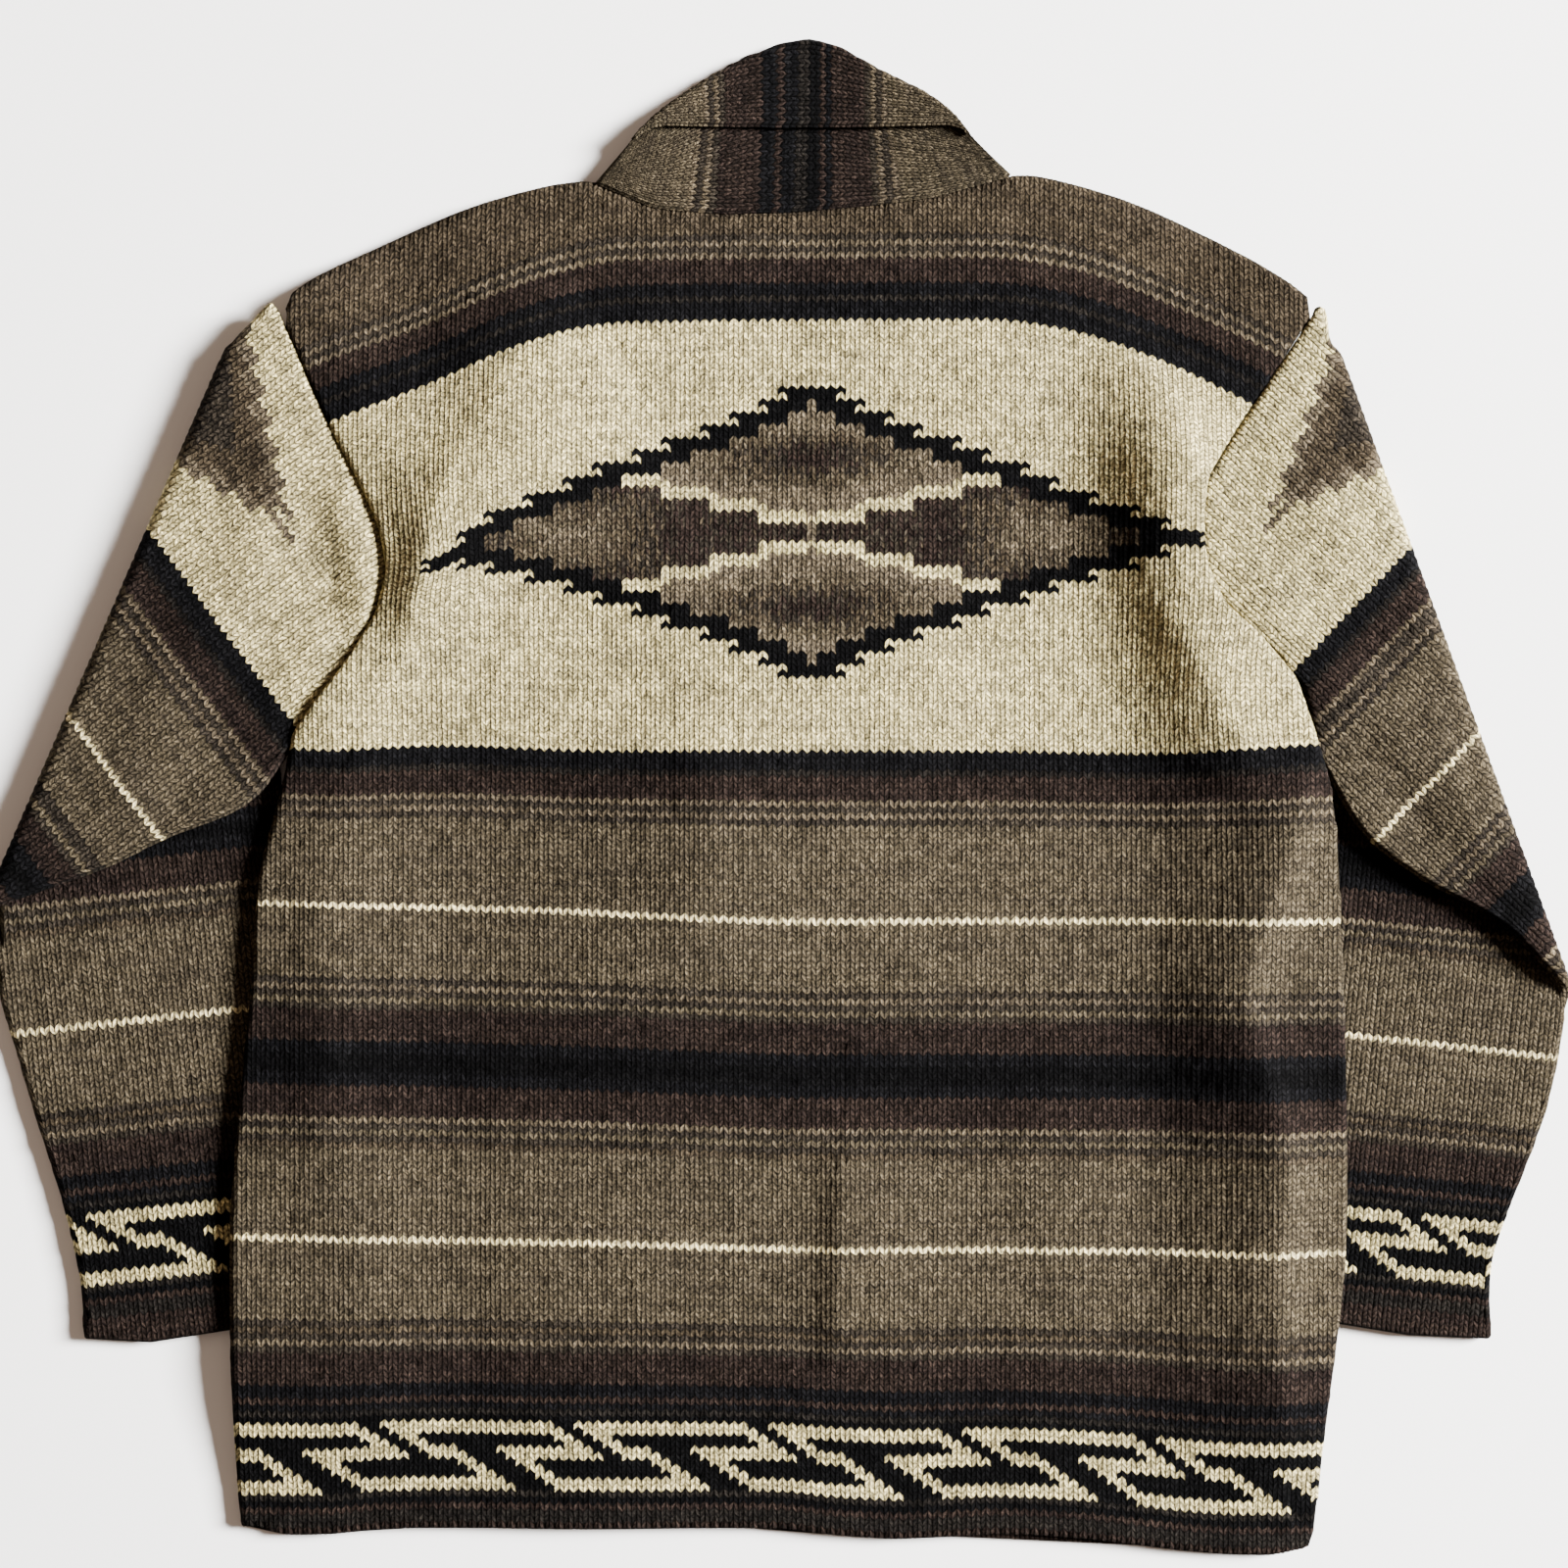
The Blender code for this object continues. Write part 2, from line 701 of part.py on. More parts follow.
def sleeve_rings(side, armhole, outwards):
    """The sleeve's sections: middle points, the normal, and each wall's lift."""
    count = len(armhole) - 1
    top_curve, side_curve = SLEEVE_TOP[side], UNDERARM_SIDE[side]
    fold, outer = FOLD_LINE[side], FOREARM_OUTER[side]
    inner, cuff = FOREARM_INNER[side], CUFF_EDGE[side]
    up = Vector((0, 0, 1))

    def armhole_at(share):
        place = min(count - 1, int(share * count))
        return armhole[place].lerp(armhole[place + 1], share * count - place)

    rings = []
    for ring in range(FAN_RINGS + 1):
        along = ring / FAN_RINGS
        points, lifts = [], []
        for step in range(count + 1):
            place = patch(
                armhole_at, lambda part: point_on(fold, part),
                lambda part: point_on(top_curve, part), lambda part: point_on(side_curve, part),
                step / count, along)
            inside = ease(0, 2, min(step, count - step))
            place += outwards[step] * SLEEVE_BOW * inside * along * (1 - along) ** 2
            calm = math.sin(math.pi * along) * inside
            lifts.append(max(-TUBE_INNER, fold_height(SLEEVE_FOLDS[side], place.x, place.y)) * calm)
            points.append(Vector((place.x, place.y, UPPER_ARM_MID)))
        rings.append((points, [up] * (count + 1), lifts))
    for ring in range(1, FOLD_RINGS + 1):
        angle = math.pi * ring / FOLD_RINGS
        points, normals = [], []
        for step in range(count + 1):
            share = step / count
            ahead = point_on(fold, min(1.0, share + 0.01)) - point_on(fold, max(0.0, share - 0.01))
            outward = Vector((ahead.y, -ahead.x)).normalized()
            if side == "right":
                outward = -outward
            place = point_on(fold, share) + outward * FOLD_RADIUS * math.sin(angle)
            height = UPPER_ARM_MID - FOLD_RADIUS * (1 - math.cos(angle))
            level = outward * math.sin(angle)
            points.append(Vector((place.x, place.y, height)))
            normals.append(Vector((level.x, level.y, math.cos(angle))))
        rings.append((points, normals, [0.0] * (count + 1)))
    for ring in range(1, FOREARM_RINGS + 1):
        along = ring / FOREARM_RINGS
        points = []
        for step in range(count + 1):
            place = patch(
                lambda part: point_on(fold, part), lambda part: point_on(cuff, part),
                lambda part: point_on(inner, part), lambda part: point_on(outer, part),
                step / count, along)
            points.append(Vector((place.x, place.y, FOREARM_MID)))
        rings.append((points, [-up] * (count + 1), [0.0] * (count + 1)))
    return rings


def tube_loop(points, normals, lifts, reach, lean):
    """One closed loop round a flat tube, at a distance from its middle."""
    first_way = (points[0] - points[1]).normalized()
    last_way = (points[-1] - points[-2]).normalized()
    first_way = (first_way + lean).normalized()
    last_way = (last_way + lean).normalized()
    loop = [point + normal * (reach + lift) for point, normal, lift in zip(points, normals, lifts)]
    for step in range(1, CAP_STEPS):
        angle = math.pi * step / CAP_STEPS
        loop.append(points[-1] + (normals[-1] * math.cos(angle) + last_way * math.sin(angle)) * reach)
    loop += [point - normal * reach for point, normal in zip(reversed(points), reversed(normals))]
    for step in range(1, CAP_STEPS):
        angle = math.pi * step / CAP_STEPS
        loop.append(points[0] + (first_way * math.sin(angle) - normals[0] * math.cos(angle)) * reach)
    return loop


def make_sleeve(name, side, plan, material):
    """A flat tube from the armhole to the cuff, folded under along its outer side."""
    column = 0 if side == "left" else -1
    away = Vector((-1, 0)) if side == "left" else Vector((1, 0))
    armhole, outwards = [], []
    for row in range(len(plan) - 1, BODY_ROWS - 1, -1):
        low, high = plan[max(BODY_ROWS, row - 1)][column], plan[min(len(plan) - 1, row + 1)][column]
        tangent = (high - low).normalized()
        outward = Vector((-tangent.y, tangent.x))
        if outward.dot(away) < 0:
            outward = -outward
        armhole.append(plan[row][column] + outward * SEAM_INSET)
        outwards.append(outward)
    rings = sleeve_rings(side, armhole, outwards)
    points, faces = [], []
    away_at_seam = Vector((away.x, away.y, 0)) * SEAM_LEAN
    for reach in (TUBE_OUTER, TUBE_INNER):
        for index, (middles, normals, lifts) in enumerate(rings):
            lean = away_at_seam if index == 0 else Vector((0, 0, 0))
            points += tube_loop(middles, normals, lifts, reach, lean)
    layer = len(points) // 2
    size = layer // len(rings)
    for ring in range(len(rings) - 1):
        for step in range(size):
            following = (step + 1) % size
            here, there = ring * size + step, ring * size + following
            faces.append((here, there, there + size, here + size))
            faces.append((layer + here, layer + here + size, layer + there + size, layer + there))
    last = size * (len(rings) - 1)
    for step in range(size):
        following = (step + 1) % size
        faces.append((step, layer + step, layer + following, following))
        faces.append((last + step, last + following, layer + last + following, layer + last + step))
    return finish_object(name, points, faces, material)


def centre_on_origin(pieces):
    """Moves the meshes so that the origin is under the middle, on the surface."""
    corners = [vertex.co for piece in pieces for vertex in piece.data.vertices]
    low = Vector([min(corner[axis] for corner in corners) for axis in range(3)])
    high = Vector([max(corner[axis] for corner in corners) for axis in range(3)])
    middle = (low + high) / 2
    shift = Vector((-middle.x, -middle.y, -low.z))
    for piece in pieces:
        for vertex in piece.data.vertices:
            vertex.co += shift


def main():
    for old in list(bpy.data.objects):
        bpy.data.objects.remove(old, do_unlink=True)
    materials = {part: wool("wool_" + part, colour) for part, colour in COLOURS.items()}

    outline = body_plan()
    rows, columns = len(outline), len(outline[0])

    def taken_off(row, column):
        return EDGE_ROUND if body_edge(row, column, rows, columns) == "free" else SEAM_INSET

    plan = draw_in(outline, taken_off)
    floor = front_floor(plan)
    heights = back_floor(plan, floor)

    pieces = [make_back(plan, heights, materials["back"])]
    for side in ("left", "right"):
        pieces.append(make_front("front_" + side, plan, floor, side, materials["front"]))
        pieces.append(make_band("band_" + side, plan, floor, side, materials["band"]))
        pieces.append(make_lapel("lapel_" + side, outline, side, materials["collar"]))
        pieces.append(make_sleeve("sleeve_" + side, side, outline, materials["sleeve"]))
    pieces.append(make_collar(outline, heights, materials["collar"]))
    centre_on_origin(pieces)


main()
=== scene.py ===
# A knitted wool cardigan with a shawl collar. It lies on its front, back upwards,
# with both sleeves folded under along their outer sides.
# Sizes in the dictionaries are millimetres: x to the right, y towards the collar, z up.

import math

import bmesh
import bpy
import numpy as np
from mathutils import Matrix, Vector
from mathutils.bvhtree import BVHTree


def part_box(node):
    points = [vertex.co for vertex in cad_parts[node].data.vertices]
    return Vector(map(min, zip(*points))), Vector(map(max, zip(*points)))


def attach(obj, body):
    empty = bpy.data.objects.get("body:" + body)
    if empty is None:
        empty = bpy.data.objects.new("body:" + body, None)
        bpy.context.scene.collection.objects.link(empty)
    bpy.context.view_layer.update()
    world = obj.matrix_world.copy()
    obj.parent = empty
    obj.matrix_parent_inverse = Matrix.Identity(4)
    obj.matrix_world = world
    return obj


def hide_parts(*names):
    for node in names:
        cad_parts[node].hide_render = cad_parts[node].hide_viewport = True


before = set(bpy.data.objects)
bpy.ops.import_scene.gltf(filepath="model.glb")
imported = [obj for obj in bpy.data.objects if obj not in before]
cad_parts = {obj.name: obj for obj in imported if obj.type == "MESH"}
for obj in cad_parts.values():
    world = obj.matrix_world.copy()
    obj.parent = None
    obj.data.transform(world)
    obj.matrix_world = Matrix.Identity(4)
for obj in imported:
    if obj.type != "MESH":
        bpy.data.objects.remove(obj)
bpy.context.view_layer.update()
bpy.ops.object.select_all(action="DESELECT")
mm = 0.001

knit = {
    "wale": 5.35,          # width of a stitch
    "course": 3.4,         # height of a stitch
    "rise": 0.7,           # how far a stitch's middle stands above its feet, in courses
    "relief": 0.85,        # height of a leg above the groove beside it
    "riseShares": (0.0, 0.5, 1.0, 0.5),        # at a stitch's foot, leg, middle and other leg
    "reliefShares": (-0.5, 0.5, -0.35, 0.5),
    "unevenness": 0.13,    # how far the yarn strays from the even lattice
    "mergeWithin": 0.02,   # points this near are one
    "leastFace": 1e-4,     # smaller faces, in square millimetres, are dropped
}

# How the frame's solids are read
reading = {
    "outlineStep": 2.0,
    "outlineEnds": (0.2, 0.1),   # how far inside its ends an outline starts and stops
    "outlineBlur": 2.5,          # how far the outlines are smoothed
    "heightStep": 3.0,
    "heightBlur": 9.0,
    "probeStart": 100.0,         # where a probe starts, above or below
    "fillRounds": 30,            # rounds that carry the heights outwards past the solid
    "creasePoints": 33,          # points along a smoothed crease
    "creaseBlur": 2.0,
}

yarns = {
    "cream": (0.425, 0.366, 0.190),
    "straw": (0.54, 0.46, 0.26),
    "olive": (0.054, 0.0440, 0.0295),
    "moss": (0.038, 0.0295, 0.020),
    "oat": (0.083, 0.067, 0.046),
    "sand": (0.064, 0.051, 0.035),
    "brown": (0.0145, 0.0101, 0.0087),
    "umber": (0.020, 0.0165, 0.0130),
    "char": (0.0080, 0.0070, 0.0064),
    "navy": (0.0035, 0.0035, 0.0042),
    "black": (0.0020, 0.0020, 0.0023),
}
yarnNames = list(yarns)

photoCamera = {
    "centre": (3.4, 8.6),    # what the middle of the picture looks at
    "height": 1410.0,
    "width": 864.0,          # what the picture spans, at the cloth
    "clothHeight": 10.0,
    "sensor": 36.0,
    "clipEnd": 20.0,         # metres
}

studio = {
    "floorSize": 6000.0,
    "floorDrop": 0.2,        # the floor lies this far under the cloth
    "floorRoughness": 0.9,
    "floorColour": (0.94, 0.94, 0.94),
    "worldColour": (1.0, 0.75, 0.58),
    "worldStrength": 0.26,
    "keyPlace": (6600, 1500, 3300),
    "keySize": 2200.0,
    "keyPower": 6300.0,
    "keyColour": (1.0, 0.99, 0.97),
    "fillPlace": (-900, 900, 1700),
    "fillSize": 1600.0,
    "fillPower": 3.0,
}


def addCamera():
    distance = photoCamera["height"] - photoCamera["clothHeight"]
    bpy.ops.object.camera_add(
        location=(photoCamera["centre"][0] * mm, photoCamera["centre"][1] * mm,
                  photoCamera["height"] * mm),
        rotation=(0, 0, 0))
    camera = bpy.context.object
    camera.name = "photoCamera"
    camera.data.sensor_width = photoCamera["sensor"]
    camera.data.lens = photoCamera["sensor"] * distance / photoCamera["width"]
    camera.data.clip_end = photoCamera["clipEnd"]
    bpy.context.scene.camera = camera


addCamera()


# Reading the frame

# Gaussian smoothing along the first axis, with the ends held
def blurLine(values, sigma):
    reach = int(math.ceil(3 * sigma))
    kernel = np.exp(-0.5 * (np.arange(-reach, reach + 1) / sigma) ** 2)
    kernel /= kernel.sum()
    padded = np.concatenate([np.repeat(values[:1], reach, 0), values,
                             np.repeat(values[-1:], reach, 0)])
    smooth = np.zeros_like(values, float)
    for index, weight in enumerate(kernel):
        smooth += weight * padded[index:index + len(values)]
    return smooth


def nodePoints(node):
    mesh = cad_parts[node].data
    points = np.zeros(len(mesh.vertices) * 3, np.float32)
    mesh.vertices.foreach_get("co", points)
    edges = np.zeros(len(mesh.edges) * 2, np.int32)
    mesh.edges.foreach_get("vertices", edges)
    return points.reshape(-1, 3).astype(float) / mm, edges.reshape(-1, 2)


# How far a node reaches across, low and high, at each place along an axis
def outline(node, axis, spacing=reading["outlineStep"], blur=reading["outlineBlur"]):
    points, edges = nodePoints(node)
    along, across = points[:, axis][edges], points[:, 1 - axis][edges]
    first, last = reading["outlineEnds"]
    stations = np.arange(points[:, axis].min() + first, points[:, axis].max() - last, spacing)
    low, high = np.zeros(len(stations)), np.zeros(len(stations))
    for index, station in enumerate(stations):
        crossing = (along[:, 0] - station) * (along[:, 1] - station) <= 0
        crossing &= np.abs(along[:, 0] - along[:, 1]) > 1e-6
        a, b = along[crossing], across[crossing]
        places = b[:, 0] + (b[:, 1] - b[:, 0]) * (station - a[:, 0]) / (a[:, 1] - a[:, 0])
        low[index], high[index] = places.min(), places.max()
    return stations, blurLine(low, blur / spacing), blurLine(high, blur / spacing)


# The height of a node's upper or lower side, as a smooth function of x and y
def heightField(node, fromAbove, blur=reading["heightBlur"]):
    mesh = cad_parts[node].data
    tree = BVHTree.FromPolygons([vertex.co.copy() for vertex in mesh.vertices],
                                [tuple(polygon.vertices) for polygon in mesh.polygons])
    low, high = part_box(node)
    step = reading["heightStep"]
    xs = np.arange(low.x / mm - step, high.x / mm + 2 * step, step)
    ys = np.arange(low.y / mm - step, high.y / mm + 2 * step, step)
    field = np.full((len(ys), len(xs)), np.nan)
    sign = 1 if fromAbove else -1
    way, start = Vector((0, 0, -sign)), sign * reading["probeStart"] * mm
    for row, y in enumerate(ys):
        for column, x in enumerate(xs):
            hit = tree.ray_cast(Vector((x * mm, y * mm, start)), way)[0]
            if hit is not None:
                field[row, column] = hit.z / mm
    # The outermost ring of readings is dropped, as it may lie on a rounded edge
    known = ~np.isnan(field)
    core = known.copy()
    core[1:] &= known[:-1]
    core[:-1] &= known[1:]
    core[:, 1:] &= known[:, :-1]
    core[:, :-1] &= known[:, 1:]
    field[~core] = np.nan
    for fillRound in range(reading["fillRounds"]):
        empty = np.isnan(field)
        if not empty.any():
            break
        padded = np.pad(field, 1, constant_values=np.nan)
        around = np.stack([padded[:-2, 1:-1], padded[2:, 1:-1],
                           padded[1:-1, :-2], padded[1:-1, 2:]])
        count = (~np.isnan(around)).sum(0)
        total = np.nansum(around, 0)
        fill = empty & (count > 0)
        field[fill] = total[fill] / count[fill]
    field[np.isnan(field)] = np.nanmean(field)
    field = blurLine(blurLine(field, blur / step).T, blur / step).T

    def read(x, y):
        across = np.clip((x - xs[0]) / step, 0, len(xs) - 1.001)
        along = np.clip((y - ys[0]) / step, 0, len(ys) - 1.001)
        column, row = across.astype(int), along.astype(int)
        across, along = across - column, along - row
        lower = field[row, column] * (1 - across) + field[row, column + 1] * across
        upper = field[row + 1, column] * (1 - across) + field[row + 1, column + 1] * across
        return lower * (1 - along) + upper * along

    return read


# Summed height of creases, each given by two half widths, a sharpness and its places
def creaseHeight(creases, x, y):
    total = np.zeros_like(x)
    for leftWidth, rightWidth, power, *places in creases:
        line = np.array(places, float)
        run = np.concatenate([[0.0], np.cumsum(np.hypot(*np.diff(line[:, :2], axis=0).T))])
        even = np.linspace(0, run[-1], reading["creasePoints"])
        line = np.stack([blurLine(np.interp(even, run, column), reading["creaseBlur"])
                         for column in line.T], axis=1)
        nearest = np.full_like(x, 1e9)
        height, side, scale = np.zeros_like(x), np.zeros_like(x), np.ones_like(x)
        for begin, finish in zip(line[:-1], line[1:]):
            stepX, stepY = finish[0] - begin[0], finish[1] - begin[1]
            along = (x - begin[0]) * stepX + (y - begin[1]) * stepY
            along = np.clip(along / (stepX ** 2 + stepY ** 2), 0, 1)
            offX, offY = x - begin[0] - along * stepX, y - begin[1] - along * stepY
            away = np.hypot(offX, offY)
            near = away < nearest
            nearest = np.where(near, away, nearest)
            height = np.where(near, begin[2] + along * (finish[2] - begin[2]), height)
            side = np.where(near, offX * stepY - offY * stepX, side)
            if len(begin) > 3:
                scale = np.where(near, begin[3] + along * (finish[3] - begin[3]), scale)
        spread = np.where(side > 0, leftWidth * scale, rightWidth)
        total += height * np.exp(-(nearest / spread) ** power)
    return total


# How far a surface drops where it is less than a radius inside its edge
def roundOff(inside, radius, depth):
    share = np.clip(1 - inside / radius, 0, 1)
    return depth * (1 - np.sqrt(1 - share ** 2))


# The stitch lattice

# Per column: place in stitches, rise of the row there, and relief
def latticeColumns(stitches):
    index = np.arange(4 * stitches + 1)
    part = index % 4
    rise = np.array(knit["riseShares"])[part] * knit["rise"]
    relief = np.array(knit["reliefShares"])[part] * knit["relief"]
    return index / 4.0, rise, relief


def uneven(shape, seed):
    generator = np.random.default_rng(seed)
    return generator.normal(0, knit["unevenness"], (*shape, 3))


# Unit normals of a grid of points, from its neighbours
def gridNormals(points):
    alongRows = np.gradient(points, axis=0)
    alongColumns = np.gradient(points, axis=1)
    normals = np.cross(alongColumns, alongRows)
    length = np.linalg.norm(normals, axis=2, keepdims=True)
    flat = length[..., 0] < 1e-5
    normals = normals / np.maximum(length, 1e-9)
    normals[flat] = (0, 0, 1)
    return normals


# Collects grids of stitches and makes them one mesh
class Knitting:
    def __init__(self, name):
        self.name = name
        self.points, self.uvs, self.faces, self.yarn = [], [], [], []
        self.count = 0

    # Adds a grid of quads, and returns the numbers of its points
    def grid(self, points, uv, yarn, flip=False):
        rows, columns = points.shape[:2]
        index = np.arange(rows * columns).reshape(rows, columns) + self.count
        a, b = index[:-1, :-1], index[:-1, 1:]
        c, d = index[1:, 1:], index[1:, :-1]
        quads = np.stack([a, b, c, d] if not flip else [a, d, c, b], axis=-1).reshape(-1, 4)
        self.points.append(points.reshape(-1, 3))
        self.uvs.append(uv.reshape(-1, 2))
        self.faces.append(quads)
        self.yarn.append(np.broadcast_to(yarn, (rows - 1, columns - 1)).reshape(-1))
        self.count += rows * columns
        return index

    # Joins two lines of points that run side by side, with triangles
    def zipUp(self, first, second, yarn):
        points = np.concatenate(self.points)
        lines = []
        for line in (first, second):
            steps = np.linalg.norm(np.diff(points[line], axis=0), axis=1)
            along = np.concatenate([[0], np.cumsum(steps)])
            lines.append((line, along / max(along[-1], 1e-9)))
        (first, firstAt), (second, secondAt) = lines
        i = j = 0
        triangles = []
        while i < len(first) - 1 or j < len(second) - 1:
            stepFirst = i < len(first) - 1 and (
                j == len(second) - 1 or firstAt[i + 1] <= secondAt[j + 1])
            if stepFirst:
                triangles.append((first[i], first[i + 1], second[j]))
                i += 1
            else:
                triangles.append((first[i], second[j + 1], second[j]))
                j += 1
        quads = np.array([(a, b, c, c) for a, b, c in triangles])   # a twice named corner
        self.faces.append(quads)
        self.yarn.append(np.full(len(quads), yarnNames.index(yarn)))

    # Makes the mesh, with the yarn's colour on each face, in place of the CAD node
    def build(self, node, material):
        points = np.concatenate(self.points) * mm
        uvs, faces = np.concatenate(self.uvs), np.concatenate(self.faces)
        yarn = np.concatenate(self.yarn)
        shell = bmesh.new()
        vertices = [shell.verts.new(point) for point in points]
        layerUv = shell.loops.layers.uv.new("stitches")
        layerYarn = shell.faces.layers.int.new("yarn")
        for corners, colour in zip(faces.tolist(), yarn.tolist()):
            if corners[2] == corners[3]:
                corners = corners[:3]
            try:
                face = shell.faces.new([vertices[corner] for corner in corners])
            except ValueError:
                continue
            face[layerYarn] = colour
            face.smooth = True
            for loop, corner in zip(face.loops, corners):
                loop[layerUv].uv = uvs[corner]
        bmesh.ops.remove_doubles(shell, verts=shell.verts, dist=knit["mergeWithin"] * mm)
        least = knit["leastFace"] * mm * mm
        slivers = [face for face in shell.faces if face.calc_area() < least]
        bmesh.ops.delete(shell, geom=slivers, context="FACES_ONLY")
        loose = [vertex for vertex in shell.verts if not vertex.link_faces]
        bmesh.ops.delete(shell, geom=loose, context="VERTS")
        bmesh.ops.recalc_face_normals(shell, faces=shell.faces)
        mesh = bpy.data.meshes.new(self.name)
        shell.to_mesh(mesh)
        shell.free()
        index = np.zeros(len(mesh.polygons), np.int32)
        mesh.attributes["yarn"].data.foreach_get("value", index)
        colours = np.array([(*yarns[name], 1.0) for name in yarnNames], np.float32)[index]
        attribute = mesh.attributes.new("yarnColour", "FLOAT_COLOR", "FACE")
        attribute.data.foreach_set("color", colours.ravel())
        mesh.attributes.remove(mesh.attributes["yarn"])
        mesh.materials.append(material)
        piece = bpy.data.objects.new(self.name, mesh)
        bpy.context.collection.objects.link(piece)
        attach(piece, "root")
        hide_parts(node)
        triangles = sum(len(polygon.vertices) - 2 for polygon in mesh.polygons)
        print(self.name, "has", triangles, "triangles")
        return piece


# The chart: the yarn of each course, by its height above the hem

bodyStripes = (
    (0.0, "brown"), (5.0, "char"), (9.0, "brown"), (12.0, "black"), (15.5, "char"),
    (19.0, "black"), (62.0, "char"), (65.4, "navy"), (68.8, "brown"), (72.2, "navy"),
    (79.0, "brown"),
    (95.0, "umber"), (98.4, "sand"), (101.8, "umber"), (105.2, "moss"), (108.6, "umber"),
    (112.0, "olive"), (152.4, "straw"), (155.8, "olive"),
    (204.0, "moss"), (207.4, "umber"), (210.8, "olive"), (214.2, "umber"), (217.6, "sand"),
    (221.0, "brown"), (238.0, "navy"), (245.0, "black"), (253.5, "navy"), (263.0, "brown"),
    (279.5, "umber"), (283.0, "olive"), (286.4, "umber"), (289.8, "sand"), (293.2, "umber"),
    (296.6, "olive"), (334.0, "straw"), (337.4, "olive"), (387.0, "umber"), (390.4, "sand"),
    (393.8, "umber"), (397.2, "sand"), (400.6, "brown"), (414.2, "char"), (417.6, "navy"),
    (428.4, "cream"), (668.0, "navy"), (675.0, "char"), (678.4, "navy"), (685.3, "brown"),
    (700.6, "sand"), (704.0, "umber"), (707.4, "sand"), (710.8, "umber"), (714.2, "moss"),
)


# Yarn numbers for heights above the hem
def stripeAt(level):
    starts = np.array([start for start, yarn in bodyStripes])
    numbers = np.array([yarnNames.index(yarn) for start, yarn in bodyStripes])
    place = np.clip(np.searchsorted(starts, level, side="right") - 1, 0, len(starts) - 1)
    return numbers[place]


lozenge = {
    "middle": (3, 161),       # its centre: stitches from the body's middle, courses from the hem
    "widths": (39, 35, 32, 28, 24, 21, 17, 14, 10, 7, 4, 2),   # half widths, two courses each
    "borderStitches": 2,
    "barStitches": 5,         # the cream bars inside
    "bars": 4,
    "fieldCentre": 25,        # from its centre to the middle of each side field
    "fieldReach": (13, 9.0),  # and from there to the field's edge, in stitches and courses
    "innerCentre": 12,        # to the middle of the field above and below
    "innerReach": (14.0, 5.5),
    "shades": ("oat", "olive", "moss", "umber", "brown"),
    "middleShade": 0.8,       # place in the shades between the side fields
    "innerShade": 1.05,
    "stray": 0.42,            # how far single stitches stray from their place
    "seed": 3,
}

sleeveLozenge = {
    "halfStitches": 17,
    "stepIn": 1.5,            # narrower by this in each course away from its middle
    "hooks": (-0.5, 1.0),     # and wider by this in even and odd courses
    "tail": 3,
    "core": 9,
    "rim": 3,
    "places": {"left": 124.0, "right": 89.0},     # along the sleeve
}

# Bars: the lowest and highest course, then the cream stitches from and to
fret = {
    "repeat": 20,
    "shift": 5,
    "bars": (
        (15, 16, 0, 17),
        (13, 14, 0, 1), (13, 14, 16, 17),
        (11, 12, 0, 3), (11, 12, 8, 17),
        (8, 10, 2, 3), (8, 10, 8, 9),
        (6, 7, 0, 3), (6, 7, 8, 19),
    ),
}


# True where the running fret is cream. It moves one stitch aside in each course
def fretStitch(wale, course):
    place = np.mod(wale + course + fret["shift"], fret["repeat"])
    cream = np.zeros(place.shape, bool)
    for lowest, highest, begin, finish in fret["bars"]:
        cream |= (course >= lowest) & (course <= highest) & (place >= begin) & (place <= finish)
    return cream


# Knits the stepped lozenge into the yarn numbers of the back
def chartLozenge(yarn, wale, course):
    across = wale - lozenge["middle"][0]
    away = np.abs(across)
    up = np.abs(course - lozenge["middle"][1])
    pastTips = [-1] * backSettings["courses"]
    widths = np.array(list(lozenge["widths"]) + pastTips)
    step = (up // 2).astype(int)
    hook = np.where(up % 2 == 1, 1, 0) + np.where((step == 0) & (across > 0) & (up == 1), 2, 0)
    width = widths[step] + hook * (widths[step] > 0)
    nextWidth = widths[step + 1] - lozenge["borderStitches"]
    border = (away <= width) & (away > nextWidth)
    inside = away <= nextWidth
    yarn = np.where(border, yarnNames.index("black"), yarn)

    bar = (away - 1) // lozenge["barStitches"]
    cream = inside & (away >= 1) & (bar < lozenge["bars"]) & ((up - 2) // 2 == bar) & (up >= 2)
    cream |= inside & (away % lozenge["barStitches"] == 0) & (bar < lozenge["bars"]) & (
        up == 4 + 2 * bar)
    between = up < 2 + 2 * np.minimum(bar, lozenge["bars"])
    field = inside & ~cream & (between | (bar >= lozenge["bars"]))
    inner = inside & ~cream & ~field
    stray = np.random.default_rng(lozenge["seed"]).random(inside.shape)
    shades = np.array([yarnNames.index(name) for name in lozenge["shades"]])
    reachAside, reachUp = lozenge["fieldReach"]
    nearField = np.maximum(np.abs(away - lozenge["fieldCentre"]) / reachAside, up / reachUp)
    nearField = np.where(away < lozenge["fieldCentre"] - reachAside, lozenge["middleShade"],
                         nearField)
    innerAside, innerUp = lozenge["innerReach"]
    nearInner = lozenge["innerShade"] - np.hypot(away / innerAside,
                                                 (up - lozenge["innerCentre"]) / innerUp)
    near = np.where(field, nearField, nearInner) + lozenge["stray"] * (stray - 0.5)
    shade = np.clip(near * len(shades), 0, len(shades) - 1).astype(int)
    yarn = np.where(field | inner, shades[shade], yarn)
    return np.where(cream, yarnNames.index("cream"), yarn)


